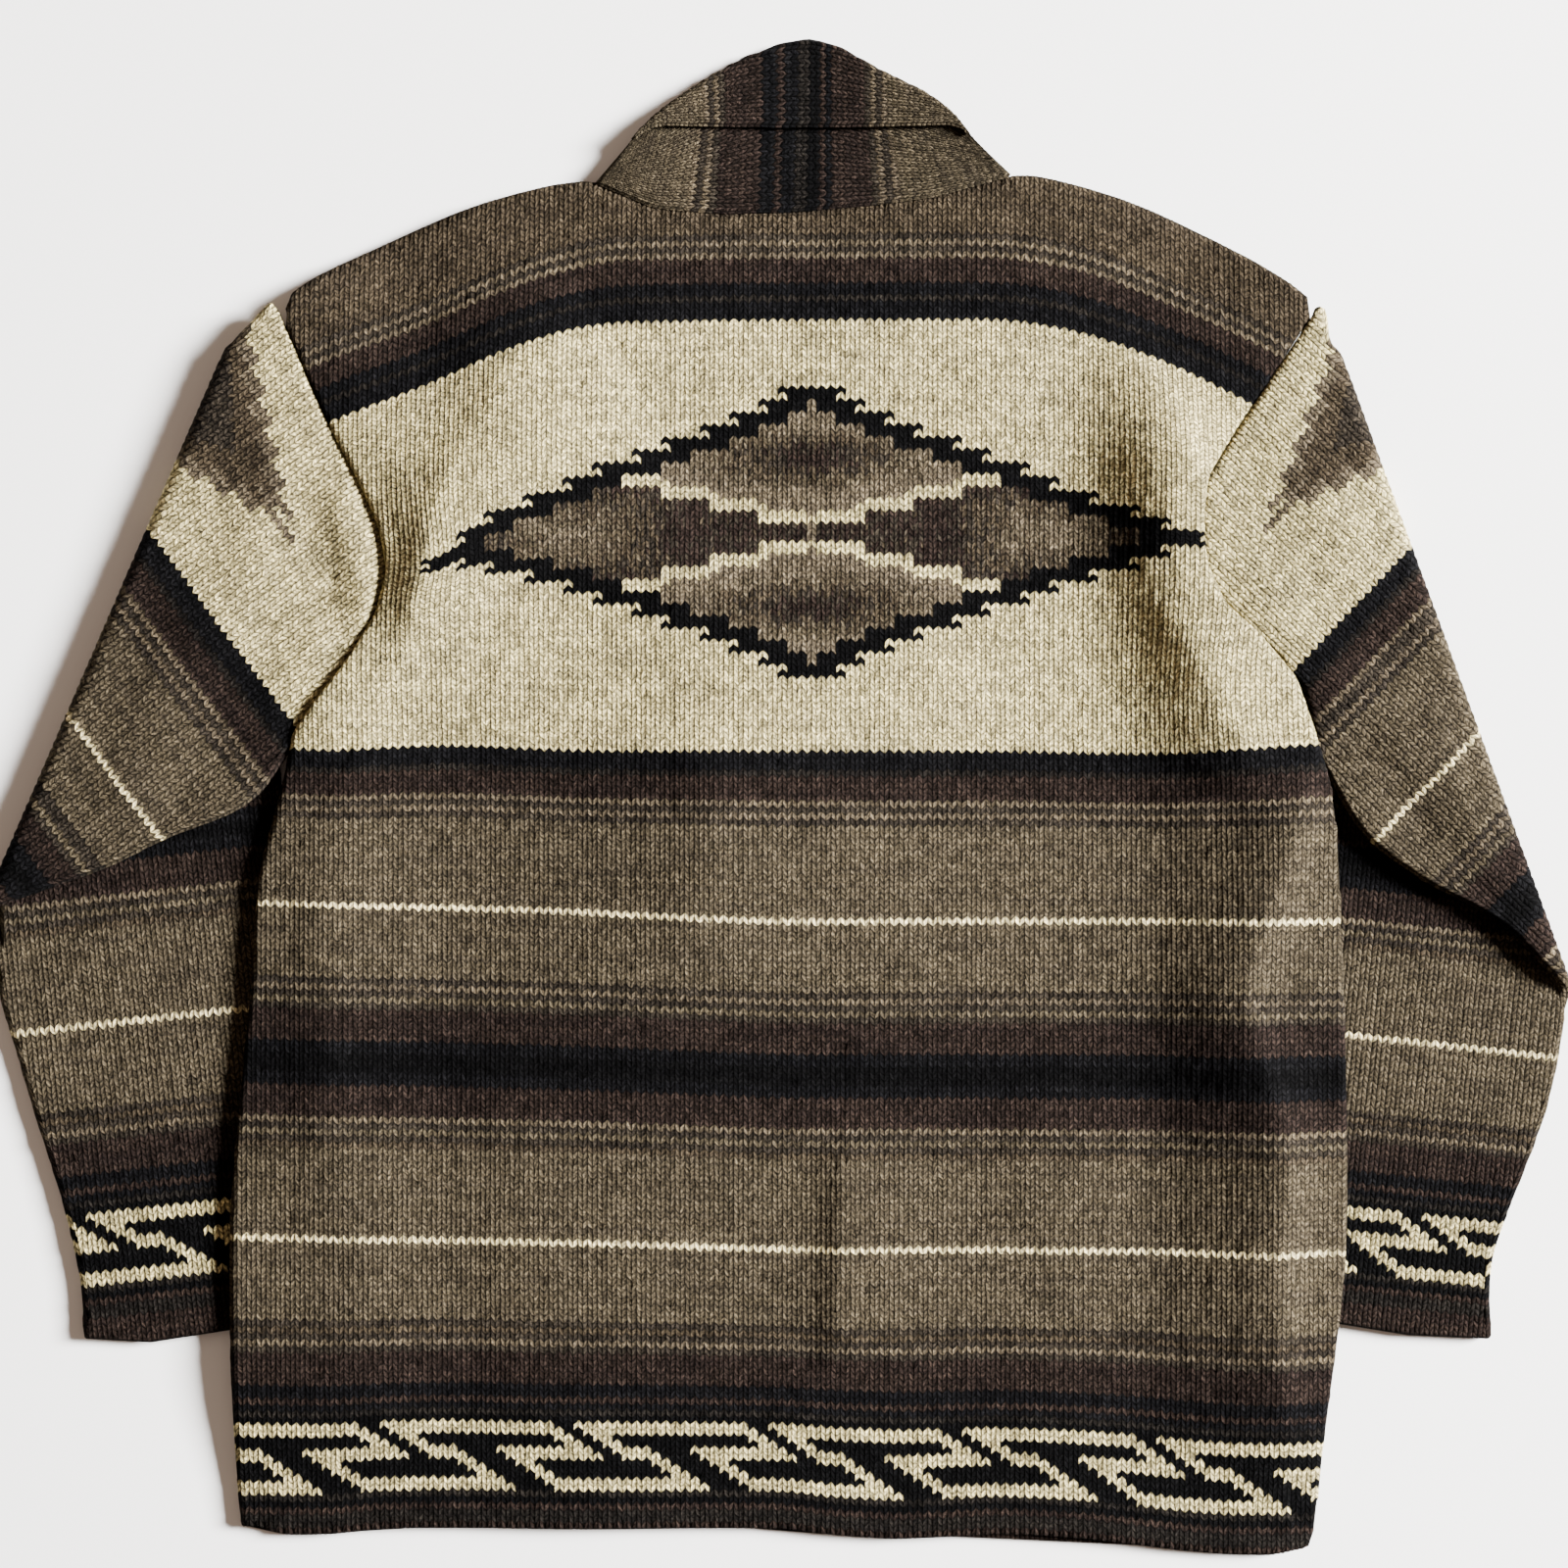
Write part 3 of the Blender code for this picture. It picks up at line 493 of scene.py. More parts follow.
# Knits half of a smaller lozenge beside the sleeve's fold. Up counts courses from its middle
def chartSleeveLozenge(yarn, away, up):
    high = np.abs(up)
    width = sleeveLozenge["halfStitches"] - sleeveLozenge["stepIn"] * np.maximum(high - 1, 0)
    evenHook, oddHook = sleeveLozenge["hooks"]
    width += np.where(high % 2 == 1, oddHook, evenHook)
    inside = away <= width
    tail = (away <= sleeveLozenge["halfStitches"] + sleeveLozenge["tail"]) & ~inside & (up == 1)
    core = away + high <= sleeveLozenge["core"]
    rim = away > width - sleeveLozenge["rim"]
    yarn = np.where(inside, yarnNames.index("moss"), yarn)
    yarn = np.where(inside & core, yarnNames.index("umber"), yarn)
    return np.where((inside & rim) | tail, yarnNames.index("oat"), yarn)


# Back panel

backSettings = {
    "centreWale": 58,
    "wales": 117,
    "courses": 226,
    "undersideColumns": 14,
    "sideRadius": 4.5,
    "sideDepth": 2.8,
    "hemRadius": 2.4,
    "seamRadius": 2.4,
    "seamDepth": 1.8,
    "underarm": 35.0,
    "shoulderEnd": 268.0,
    "hemCorner": 14.0,       # the corners of the hem start this far from its ends
    "cornerLevel": -396.0,
    "leastThickness": 2.4,
    "underClearance": 0.3,   # from the solid's underside to the sheet's
    "undersideWale": -50,    # the underside is striped as this column of stitches is
    "settleSteps": 16,       # rounds that bring each course's end onto the outline
    "restHeight": 3.0,       # least height over the fronts
    "restSoftness": 0.3,
    "restFrom": 40.0,        # the fronts lie outside this x and below restTop
    "restTop": 200.0,
    "offsetReach": 330,      # how far to each side the courses' offsets are read
    "offsetStep": 5.0,
    "offsetBlur": 2.6,
    "hemReach": (-255, 250),
    "seed": 5,
}

# How far the courses stray from level: height at the middle, then offsets across
courseStations = (-300, -246, -194, -162, -130, -97, 0, 130, 173, 216, 262, 300)
courseLines = (
    (-254, (7, 6, 5, 4.5, 4, 3.5, 0, -1, -1.5, -2, -2, -2)),
    (-70, (11, 9.5, 8, 7, 6.5, 5, 0, 0, 0, 0, 0, 0)),
    (25, (4, 0, 3.5, 3, 1, 0, 0, 0, -1, -2, 0, 4)),
    (144, (-16, -13, -9, -6, -3, -1, 0, 0, -2, -3.5, -6, -9)),
    (264, (-82, -57, -38, -24, -11, -2, 0, 0, -8, -25, -48, -70)),
    (340, (-82, -57, -38, -24, -11, -2, 0, 0, -8, -25, -48, -70)),
)


# How much higher than at the middle a course lies at x
def courseOffset(x, level, hem, hemStart):
    reach = backSettings["offsetReach"]
    dense = np.arange(-reach, reach + 1, backSettings["offsetStep"])
    lines = [blurLine(np.interp(dense, courseStations, offsets), backSettings["offsetBlur"])
             for middle, offsets in courseLines]
    levels = [middle for middle, offsets in courseLines]
    lines.insert(0, hem(np.clip(dense, *backSettings["hemReach"])) - hemStart)
    levels.insert(0, hemStart)
    result = np.zeros(np.broadcast(x, level).shape)
    x, level = np.broadcast_arrays(x, level)
    for index in range(len(levels) - 1):
        share = np.clip((level - levels[index]) / (levels[index + 1] - levels[index]), 0, 1)
        here = (level >= levels[index]) if index else np.ones(level.shape, bool)
        low = np.interp(x, dense, lines[index])
        high = np.interp(x, dense, lines[index + 1])
        result = np.where(here, low + (high - low) * share, result)
    return result


# Folds: half widths on the left and right of a downward run, sharpness, then places with
# x, y, height and, where it varies, the share of the left half width
backCreases = (
    (50, 90, 1.4, (-92, 268, 0, 1.0), (-124, 250, 11, 1.0), (-156, 218, 18, 0.95),
     (-185, 168, 17, 0.62), (-192, 134, 13, 0.42), (-196, 104, 11, 0.4), (-206, 74, 6, 0.3),
     (-222, 46, 0, 0.3)),
    (13, 34, 1.6, (-222, 100, 0), (-237, 80, 4), (-256, 52, 4.4), (-268, 34, 2), (-276, 18, 0)),
    (62, 16, 1.8, (176, 256, 0), (204, 228, 9), (230, 172, 12), (243, 133, 10),
     (252, 100, 8), (272, 68, 6), (290, 34, 4), (300, 10, 0)),
    (30, 17, 1.7, (190, 132, 0), (212, 98, 5), (230, 68, 7), (252, 28, 7), (262, 6, 3),
     (266, -16, 0)),
    (34, 16, 1.6, (298, 44, 0), (284, 12, 10), (280, -38, 12), (256, -84, 12), (246, -112, 11),
     (272, -160, 11), (280, -205, 12), (270, -265, 10), (276, -330, 7), (280, -372, 3)),
    (42, 60, 1.5, (-28, 48, 0), (-35, 14, 9), (-38, -42, 8.5), (-62, -84, 5), (-66, -120, 0)),
    (13, 46, 1.5, (37, -180, 0), (36, -206, 5.5), (32, -290, 5.5), (30, -324, 0)),
    (140, 150, 2, (-56, -60, 7), (-54, -240, 7), (-52, -372, 1)),
    (22, 30, 2, (-120, 122, 1), (-20, 96, 1.8)),
    (34, 40, 2, (-60, 60, 1.4), (20, 40, 1.4)),
    (30, 36, 2, (-150, -150, 1.8), (-140, -330, 1.8)),
    (34, 30, 2, (150, -190, 2), (158, -340, 1.6)),
    (36, 36, 2, (-200, -230, 1.6), (-90, -250, 1.6)),
    (18, 18, 2, (-250, -60, 1.8), (-240, -240, 1.8)),
    (34, 34, 2, (40, 170, 1.6), (90, 60, 1.6)),
)
# Where the cloth is pulled along: place, radius and how far
backPulls = (
    (-196, 140, 23, 4, -11),
    (252, 60, 40, -5, 2),
)


def makeBack(material):
    settings = backSettings
    ys, left, right = outline("back", 1)
    xs, hemLow, topHigh = outline("back", 0)
    corner = settings["hemCorner"]

    def leftAt(y):
        return np.interp(np.clip(y, settings["cornerLevel"], settings["shoulderEnd"]), ys, left)

    def rightAt(y):
        return np.interp(np.clip(y, settings["cornerLevel"], settings["shoulderEnd"]), ys, right)

    def hemAt(x):
        return np.interp(np.clip(x, xs[0] + corner, xs[-1] - corner), xs, hemLow)

    def topAt(x):
        return np.interp(x, xs, topHigh)

    over = heightField("back", True)
    under = heightField("back", False)
    beneath = [heightField("front_" + side, True) for side in ("left", "right")]
    hemStart = float(hemAt(0.0))

    def clip(x, y):
        x = np.clip(x, leftAt(y), rightAt(y))
        return x, np.clip(y, hemAt(x), topAt(x))

    def surface(x, y):
        z = over(x, y) + creaseHeight(backCreases, x, y)
        rest = np.where(x < 0, beneath[0](x, y), beneath[1](x, y)) + settings["restHeight"]
        onFronts = (np.abs(x) > settings["restFrom"]) & (y < settings["restTop"])
        spare = z - rest
        lifted = rest + 0.5 * (spare + np.sqrt(spare ** 2 + settings["restSoftness"]))
        z = np.where(onFronts, lifted, z)
        inside = np.minimum(x - leftAt(y), rightAt(y) - x)
        inside = np.where(y > settings["shoulderEnd"], np.inf, inside)
        seamed = y > settings["underarm"]
        z -= np.where(seamed, roundOff(inside, settings["seamRadius"], settings["seamDepth"]),
                      roundOff(inside, settings["sideRadius"], settings["sideDepth"]))
        z -= roundOff(y - hemAt(x), settings["hemRadius"], settings["sideDepth"])
        z -= roundOff(topAt(x) - y, settings["sideRadius"], settings["sideDepth"])
        return z

    u, rise, relief = latticeColumns(settings["wales"])
    v = np.arange(settings["courses"] + 1)[:, None] - 1.0
    x = (u - settings["centreWale"])[None, :] * knit["wale"] + 0 * v
    level = hemStart + (v + rise[None, :]) * knit["course"]
    y = level + courseOffset(x, level, hemAt, hemStart)
    for atX, atY, radius, pullX, pullY in backPulls:
        share = np.exp(-((x - atX) ** 2 + (y - atY) ** 2) / radius ** 2)
        x, y = x + pullX * share, y + pullY * share

    # Points past the outline meet in one point where their course reaches it
    outside = (x < leftAt(y)) | (x > rightAt(y))
    edgeY = y
    straight = hemStart + v * knit["course"]
    for settle in range(settings["settleSteps"]):
        edgeX = np.where(x < 0, leftAt(edgeY), rightAt(edgeY))
        edgeY = (edgeY + straight + courseOffset(edgeX, straight, hemAt, hemStart)) / 2
    y = np.where(outside, edgeY, y)
    x, y = clip(x, y)
    points = np.stack([x, y, surface(x, y)], axis=-1)
    loose = np.where(outside, 0.0, 1.0)[..., None]
    points += gridNormals(points) * relief[None, :, None] * loose
    noise = uneven(points.shape[:2], settings["seed"]) * loose
    points[2:-2, 2:-2] += noise[2:-2, 2:-2]
    points[..., 0], points[..., 1] = clip(points[..., 0], points[..., 1])
    uv = np.stack([np.broadcast_to(u, x.shape), np.broadcast_to(v, x.shape)], axis=-1)

    course = (np.arange(settings["courses"]) - 1.0)[:, None]
    wale = np.floor(u[:-1] + 1e-6)[None, :]
    yarn = chartBody(wale - settings["centreWale"], course)

    body = Knitting("backKnit")
    top = body.grid(points, uv, yarn)
    share = np.linspace(0, 1, settings["undersideColumns"])[None, :]
    ends = points[:, [0, -1]]
    lowX = ends[:, :1, 0] + (ends[:, 1:, 0] - ends[:, :1, 0]) * share
    lowY = ends[:, :1, 1] + (ends[:, 1:, 1] - ends[:, :1, 1]) * share
    lowY = np.where((share > 0) & (share < 1),
                    straight + courseOffset(lowX, straight, hemAt, hemStart), lowY)
    lowX, lowY = clip(lowX, lowY)
    lowZ = np.minimum(under(lowX, lowY) + settings["underClearance"],
                      surface(lowX, lowY) - settings["leastThickness"])
    lower = np.stack([lowX, lowY, lowZ], axis=-1)
    lower[:, [0, -1]] = ends
    lowUv = np.stack([lowX / knit["wale"], np.broadcast_to(v, lowX.shape)], axis=-1)
    lowYarn = chartBody(np.full((1, 1), settings["undersideWale"]), course)
    lowYarn = np.repeat(lowYarn, settings["undersideColumns"] - 1, axis=1)
    bottom = body.grid(lower, lowUv, lowYarn, flip=True)
    body.zipUp(top[0], bottom[0], "brown")
    body.zipUp(top[-1], bottom[-1], "olive")
    return body.build("back", material)


# Yarn numbers of the back's stitches
def chartBody(wale, course):
    level = (course + 0.5) * knit["course"] + 0 * wale
    yarn = stripeAt(level)
    yarn = np.where(fretStitch(wale, course), yarnNames.index("cream"), yarn)
    return chartLozenge(yarn, wale, course + 0 * wale)


# Sleeves: each is a flat tube, cut as a strip along the upper arm and folded back
# under itself along the slanting line from the shoulder to the elbow

tube = {
    "wall": 3.5,          # middle of the tube to the outside of each wall
    "hollow": 0.5,        # middle of the tube to the inside of each wall
    "foldRadius": 5.0,    # middle of the tube round its fold
    "foldHeight": 8.5,    # height of the fold's centre
    "capStitches": 2,     # stitches round each side of the tube
    "innerRows": 12,
    "rim": 1.0,           # how far the cuff's rim stands out, and its two rows' thickness
    "rimShares": (0.75, 0.3),
    "seamRadius": 2.6,
    "seamDepth": 1.6,
    "seamGap": 0.3,
    "armhole": (36.0, 272.0, 4.0),    # heights at which the body's edge is read for it
    "sideRead": (60, 20, 2.0),        # lead, tail and step of the underarm line's reading
    "sideBlur": 4,
    "sideMargin": 0.5,
    "freeWithin": 0.5,    # stitches moved further than this by the outline are smooth
    "foldFade": 14,       # creases fade out this near the fold
    "edgeFade": 9,        # and this near the seams
    "cuffMargin": 7.0,    # from the cuff's edge to the first course of the chart
    "cuffLevels": (250.0, 0.0, -20.0),    # places in the chart counted from the cuff
    "floorGuard": 0.02,   # keeps a course's number from falling short by rounding
}

# Points are as seen from above: the slanting fold, the shoulder's corner, the underarm
# side of the upper arm, the outer side of the forearm, and the cuff.
# levels pairs places along the strip with heights above the hem in the chart.
sleeveCuts = {
    "left": {
        "axis": (-0.80, -0.60),
        "fold": ((-294.6, 251.0), (-426.6, -54.0)),
        "shoulder": (-275.6, 272.0),
        "underarm": ((-266.6, 36.0), (-285.6, 6.0), (-301.6, -5.0), (-340.6, -19.0),
                     (-368.6, -34.0), (-402.6, -46.0), (-426.6, -54.0)),
        "forearm": ((-430.6, -81.0), (-426.6, -111.0), (-416.6, -142.0), (-404.6, -183.0),
                    (-393.6, -216.0), (-384.6, -251.0), (-380.6, -273.0), (-380.6, -297.0)),
        "cuff": ((-242.6, -283.0), (-301.6, -292.0), (-346.6, -299.0), (-380.6, -297.0)),
        "levels": ((60, 556), (189.5, 428.4), (284, 335.5)),
        "stretch": 1.065,    # how much taller its courses are than the body's
        "fret": (1, 4),      # which way the fret leans, and where it starts
        "seed": 11,
    },
    "right": {
        "axis": (0.722, -0.692),
        "fold": ((300.4, 249.0), (424.4, -91.0)),
        "shoulder": (297.4, 272.0),
        "underarm": ((296.4, 31.0), (316.4, -6.0), (327.4, -21.0), (345.4, -34.0),
                     (363.4, -46.0), (385.4, -56.0), (406.4, -70.0), (424.4, -91.0)),
        "forearm": ((432.4, -111.0), (429.4, -137.0), (422.4, -169.0), (412.4, -197.0),
                    (401.4, -224.0), (391.4, -251.0), (389.4, -273.0), (391.4, -297.0)),
        "cuff": ((256.4, -278.0), (311.4, -289.0), (348.4, -295.0), (391.4, -297.0)),
        "levels": ((26, 556), (155.5, 428.4), (251.5, 335.5)),
        "stretch": 0.97,
        "fret": (-1, -8),
        "seed": 12,
    },
}

sleeveCreases = {
    "left": ((12, 20, 1.8, (-243, 178, 0), (-240, 164, 4), (-233, 138, 5.5), (-224, 102, 4.5),
              (-222, 88, 0)),
             (18, 18, 2, (-272, 190, 3.2), (-300, 92, 3.2)),
             (20, 20, 2, (-318, 96, 3), (-356, 8, 3)),
             (11, 11, 2, (-286, 46, -2.4), (-330, 2, -2.4)),
             (12, 12, 2, (-252, 84, 2), (-290, 40, 2))),
    "right": ((22, 22, 2, (282, 196, 3), (318, 118, 3)),
              (20, 20, 2, (270, 110, 4), (336, 24, 4)),
              (18, 18, 2, (360, 40, 3), (396, -40, 3)),
              (12, 12, 2, (318, 40, -2.4), (352, -14, -2.4)),
              (12, 14, 2, (386, -58, -3.6), (412, -128, -3.6))),
}


def makeSleeve(side, material, armhole):
    cut = sleeveCuts[side]
    axis = np.array(cut["axis"]) / np.linalg.norm(cut["axis"])
    hand = 1 if side == "left" else -1
    across = hand * np.array((-axis[1], axis[0]))
    foldStart, foldEnd = (np.array(point) for point in cut["fold"])
    run = (foldEnd - foldStart) / np.linalg.norm(foldEnd - foldStart)
    outward = hand * np.array((run[1], -run[0]))
    radius, centreHeight = tube["foldRadius"], tube["foldHeight"]

    def unfold(point):
        inside = (np.array(point) - foldStart) @ outward
        return np.array(point) + (math.pi * radius - 2 * inside) * outward

    def stripPlace(point):
        return np.array((point @ axis, point @ across))

    sideLine = [stripPlace(np.array(point)) for point in cut["underarm"]]
    sideLine += [stripPlace(unfold(point)) for point in cut["forearm"]]
    sideLine = np.array(sideLine)
    cuffLine = np.array([stripPlace(unfold(point)) for point in cut["cuff"]])
    cuffLine = cuffLine[np.argsort(cuffLine[:, 1])]
    armLine = np.array([stripPlace(point) for point in armhole])
    armLine = armLine[np.argsort(armLine[:, 1])]
    shoulder = stripPlace(np.array(cut["shoulder"]))
    foldTop = stripPlace(foldStart)
    topLine = np.array([shoulder, foldTop, cuffLine[0]])

    lead, tail, step = tube["sideRead"]
    dense = np.arange(sideLine[0, 0] - lead, cuffLine[:, 0].max() + tail, step)
    sideDense = blurLine(np.interp(dense, sideLine[:, 0], sideLine[:, 1]), tube["sideBlur"])

    def underEdge(s):
        return np.interp(s, dense, sideDense)

    def topEdge(s):
        return np.interp(s, topLine[:, 0], topLine[:, 1])

    def clipAlong(s, t):
        return np.clip(s, np.interp(t, armLine[:, 1], armLine[:, 0]) + tube["seamGap"],
                       np.interp(t, cuffLine[:, 1], cuffLine[:, 0]))

    # Stitches once round the tube: over the top, round one side, beneath, and back
    course = knit["course"] * cut["stretch"]
    cuffAt = cuffLine[:, 0].mean()
    start = armLine[:, 0].min() - course
    courses = int(math.ceil((cuffLine[:, 0].max() - start) / course)) + 1
    end = start + courses * course
    left = min(topLine[:, 1]) - tube["sideMargin"]
    wales = int(math.ceil((sideDense.max() - left) / knit["wale"]))
    u, rise, relief = latticeColumns(wales)
    capColumns = 4 * tube["capStitches"]
    cap = np.arange(1, capColumns) * math.pi / capColumns
    capRelief, capRise = relief[1:capColumns], rise[1:capColumns]
    wallT = left + u * knit["wale"]
    far = 1e3
    baseT = np.concatenate([wallT, np.full(len(cap), far), wallT[::-1],
                            np.full(len(cap) + 1, -far)])
    baseT[-1] = wallT[0]
    sideways = np.concatenate([0 * u, np.sin(cap), 0 * u, -np.sin(cap), [0.0]])
    upwards = np.concatenate([0 * u + 1, np.cos(cap), 0 * u - 1, -np.cos(cap), [1.0]])
    loopRelief = np.concatenate([relief, capRelief, relief[::-1], capRelief, relief[:1]])
    loopRise = np.concatenate([rise, capRise, rise[::-1], capRise, rise[:1]])
    loopU = np.arange(len(baseT)) / 4.0

    # Rows from the armhole to the cuff, round its rim, and back along the inside
    rims, inners = tube["rimShares"], tube["innerRows"]
    rowS = np.concatenate([start + np.arange(courses + 1) * course, [end] * len(rims),
                           np.linspace(end, start, inners), [start]])[:, None]
    scale = np.array([1.0] * (courses + 1) + list(rims) +
                     [tube["hollow"] / tube["wall"]] * inners + [1.0])[:, None]
    outer = np.arange(len(rowS))[:, None] <= courses

    flatT = baseT[None, :] + 0 * rowS
    within = ((flatT > topEdge(rowS)) & (flatT < underEdge(rowS))) | (np.abs(flatT) == far)
    s = rowS - np.where(outer & within, loopRise[None, :] * course, 0)
    t = np.clip(flatT, topEdge(s), underEdge(s))
    flatS = s
    s = clipAlong(s, t)
    t = np.clip(t, topEdge(s), underEdge(s))
    free = (np.abs(s - flatS) < tube["freeWithin"]) & within
    bulge = np.zeros_like(scale)
    bulge[courses + 1:courses + 1 + len(rims)] = tube["rim"]
    wall = tube["wall"] * scale
    seam = roundOff(s - clipAlong(s * 0 - far, t), tube["seamRadius"], tube["seamDepth"])
    lift = np.where(outer & free, loopRelief[None, :], 0)
    reach = np.maximum(wall + lift - np.where(outer, seam, 0), tube["hollow"])
    t = t + sideways[None, :] * reach
    h = upwards[None, :] * reach
    s = s + bulge
    plan = s[..., None] * axis + t[..., None] * across
    noise = uneven(s.shape, cut["seed"]) * (outer & free)[..., None]
    noise[0] = 0
    noise[:, -1] = noise[:, 0]
    plan += noise[..., :2]

    # The strip is bent back under itself along the fold
    inside = (plan - foldStart) @ outward
    angle = np.clip(inside / radius, 0, math.pi)
    bent = radius + h
    beyond = np.maximum(inside - math.pi * radius, 0)
    level = np.minimum(inside, 0) + bent * np.sin(angle) - beyond
    place = plan + (level - inside)[..., None] * outward
    z = centreHeight + bent * np.cos(angle) + noise[..., 2]
    onTop = np.clip(-inside / tube["foldFade"], 0, 1)
    fromSeams = np.minimum(underEdge(s) - t, s - clipAlong(s * 0 - far, t))
    edge = np.clip(fromSeams / tube["edgeFade"], 0, 1)
    edge = edge * edge * (3 - 2 * edge)
    z += creaseHeight(sleeveCreases[side], place[..., 0], place[..., 1]) * onTop * edge * (h > 0)
    points = np.concatenate([place, z[..., None]], axis=-1)
    points[-1] = points[0]
    uv = np.stack([np.broadcast_to(loopU[None, :], s.shape),
                   np.broadcast_to((end - rowS) / course, s.shape)], axis=-1)

    middle = (rowS[:-1] + rowS[1:]) / 2
    wale = np.floor(loopU[:-1] + 1e-6)[None, :]
    around = 2 * wales + 2 * tube["capStitches"]
    yarn = chartSleeve(side, wale, middle, cuffAt, around)
    sleeve = Knitting("sleeve" + side.capitalize() + "Knit")
    sleeve.grid(points, uv, yarn)
    return sleeve.build("sleeve_" + side, material)


# Yarn numbers of a sleeve's stitches
def chartSleeve(side, wale, s, cuffAt, around):
    cut = sleeveCuts[side]
    hand, fretStart = cut["fret"]
    lower = [(cuffAt - tube["cuffMargin"] - cut["stretch"] * level, level)
             for level in tube["cuffLevels"]]
    places, heights = zip(*cut["levels"], *lower)
    course = np.floor(np.interp(s, places, heights) / knit["course"] + tube["floorGuard"])
    level = (course + 0.5) * knit["course"] + 0 * wale
    yarn = stripeAt(np.maximum(level, 0))
    yarn = np.where(fretStitch(hand * wale + fretStart, course), yarnNames.index("cream"), yarn)
    away = np.minimum(wale, around - 1 - wale) + 0 * s
    up = np.round((s - sleeveLozenge["places"][side]) / (knit["course"] * cut["stretch"]))
    return chartSleeveLozenge(yarn, away, up + 0 * wale)


# Strips that turn back on themselves: the collar's stand and fall, and the lapels

turned = {
    "roll": 1.75,        # middle of the cloth round the roll
    "half": 1.5,         # half the cloth's thickness
    "capColumns": 3,
    "capStep": 0.2,      # stitches of pattern to a column there
    "backShift": 0.5,    # the other side's pattern is moved by this many stitches
    "edgeLift": 0.5,     # how far the fall's edge stands off the stand
}

collarPlaces = {
    "seamGap": 0.8,      # from the back's edge to the collar's seam
    "seamProbe": 3,      # the solid's height is read this far above the seam
    "rollProbe": 6,      # and this far below the roll
    "clearance": 0.3,
    "blur": 1.6,
    "seed": 21,
}

# Share, seam x, roll x, roll y, edge x, edge y, height of the stand at the roll
collarSections = (
    (0.00, -101.6, -79.6, 365, -78.0, 364, 7.1),
    (0.12, -84.6, -66.6, 379, -64.6, 372, 6.9),
    (0.25, -57.6, -46.6, 394, -44.6, 372, 4.2),
    (0.38, -21.6, -20.6, 410, -19.6, 372, 1.6),
    (0.50, 9.4, 12.4, 422, 12.4, 372, 0.6),
    (0.60, 32.4, 31.4, 418, 31.4, 372, 1.0),
    (0.72, 63.4, 56.4, 403, 56.4, 372, 3.4),
    (0.86, 100.4, 83.4, 389, 82.4, 372, 6.8),
    (0.94, 117.4, 97.4, 378, 95.4, 372, 7.0),
    (1.00, 130.4, 104.4, 367, 103.4, 366, 7.1),
)
collarYarns = ((18, "olive"), (1, "sand"), (1, "umber"), (1, "sand"), (1, "umber"), (6, "brown"),
               (2, "navy"), (1, "brown"), (2, "navy"), (2, "char"), (2, "black"), (1, "brown"),
               (1, "navy"), (6, "brown"), (1, "umber"), (1, "sand"), (1, "umber"), (1, "sand"),
               (18, "olive"))

# Share, stand width and angle, fall width and angle
lapelSections = (
    (0.00, 24, 6, 9, 4),
    (0.25, 22, 14, 40, 10),
    (0.50, 22, 16, 68, 12),
    (0.75, 23, 22, 76, 16),
    (0.90, 26, 34, 62, 24),
    (1.00, 30, 47, 22, 58),
)
lapelPlaces = {
    "heights": (5.0, 5.0, 1.5),    # middle of the stand's cloth, the roll's and the fall's
    "start": 37.0,
    "topMargin": 28,
    "crowding": 1.05,    # courses for each that fits its length at the body's gauge
    "seamGap": 0.6,
    "darkEvery": 9,      # every ninth course is umber
    "seed": 31,
}


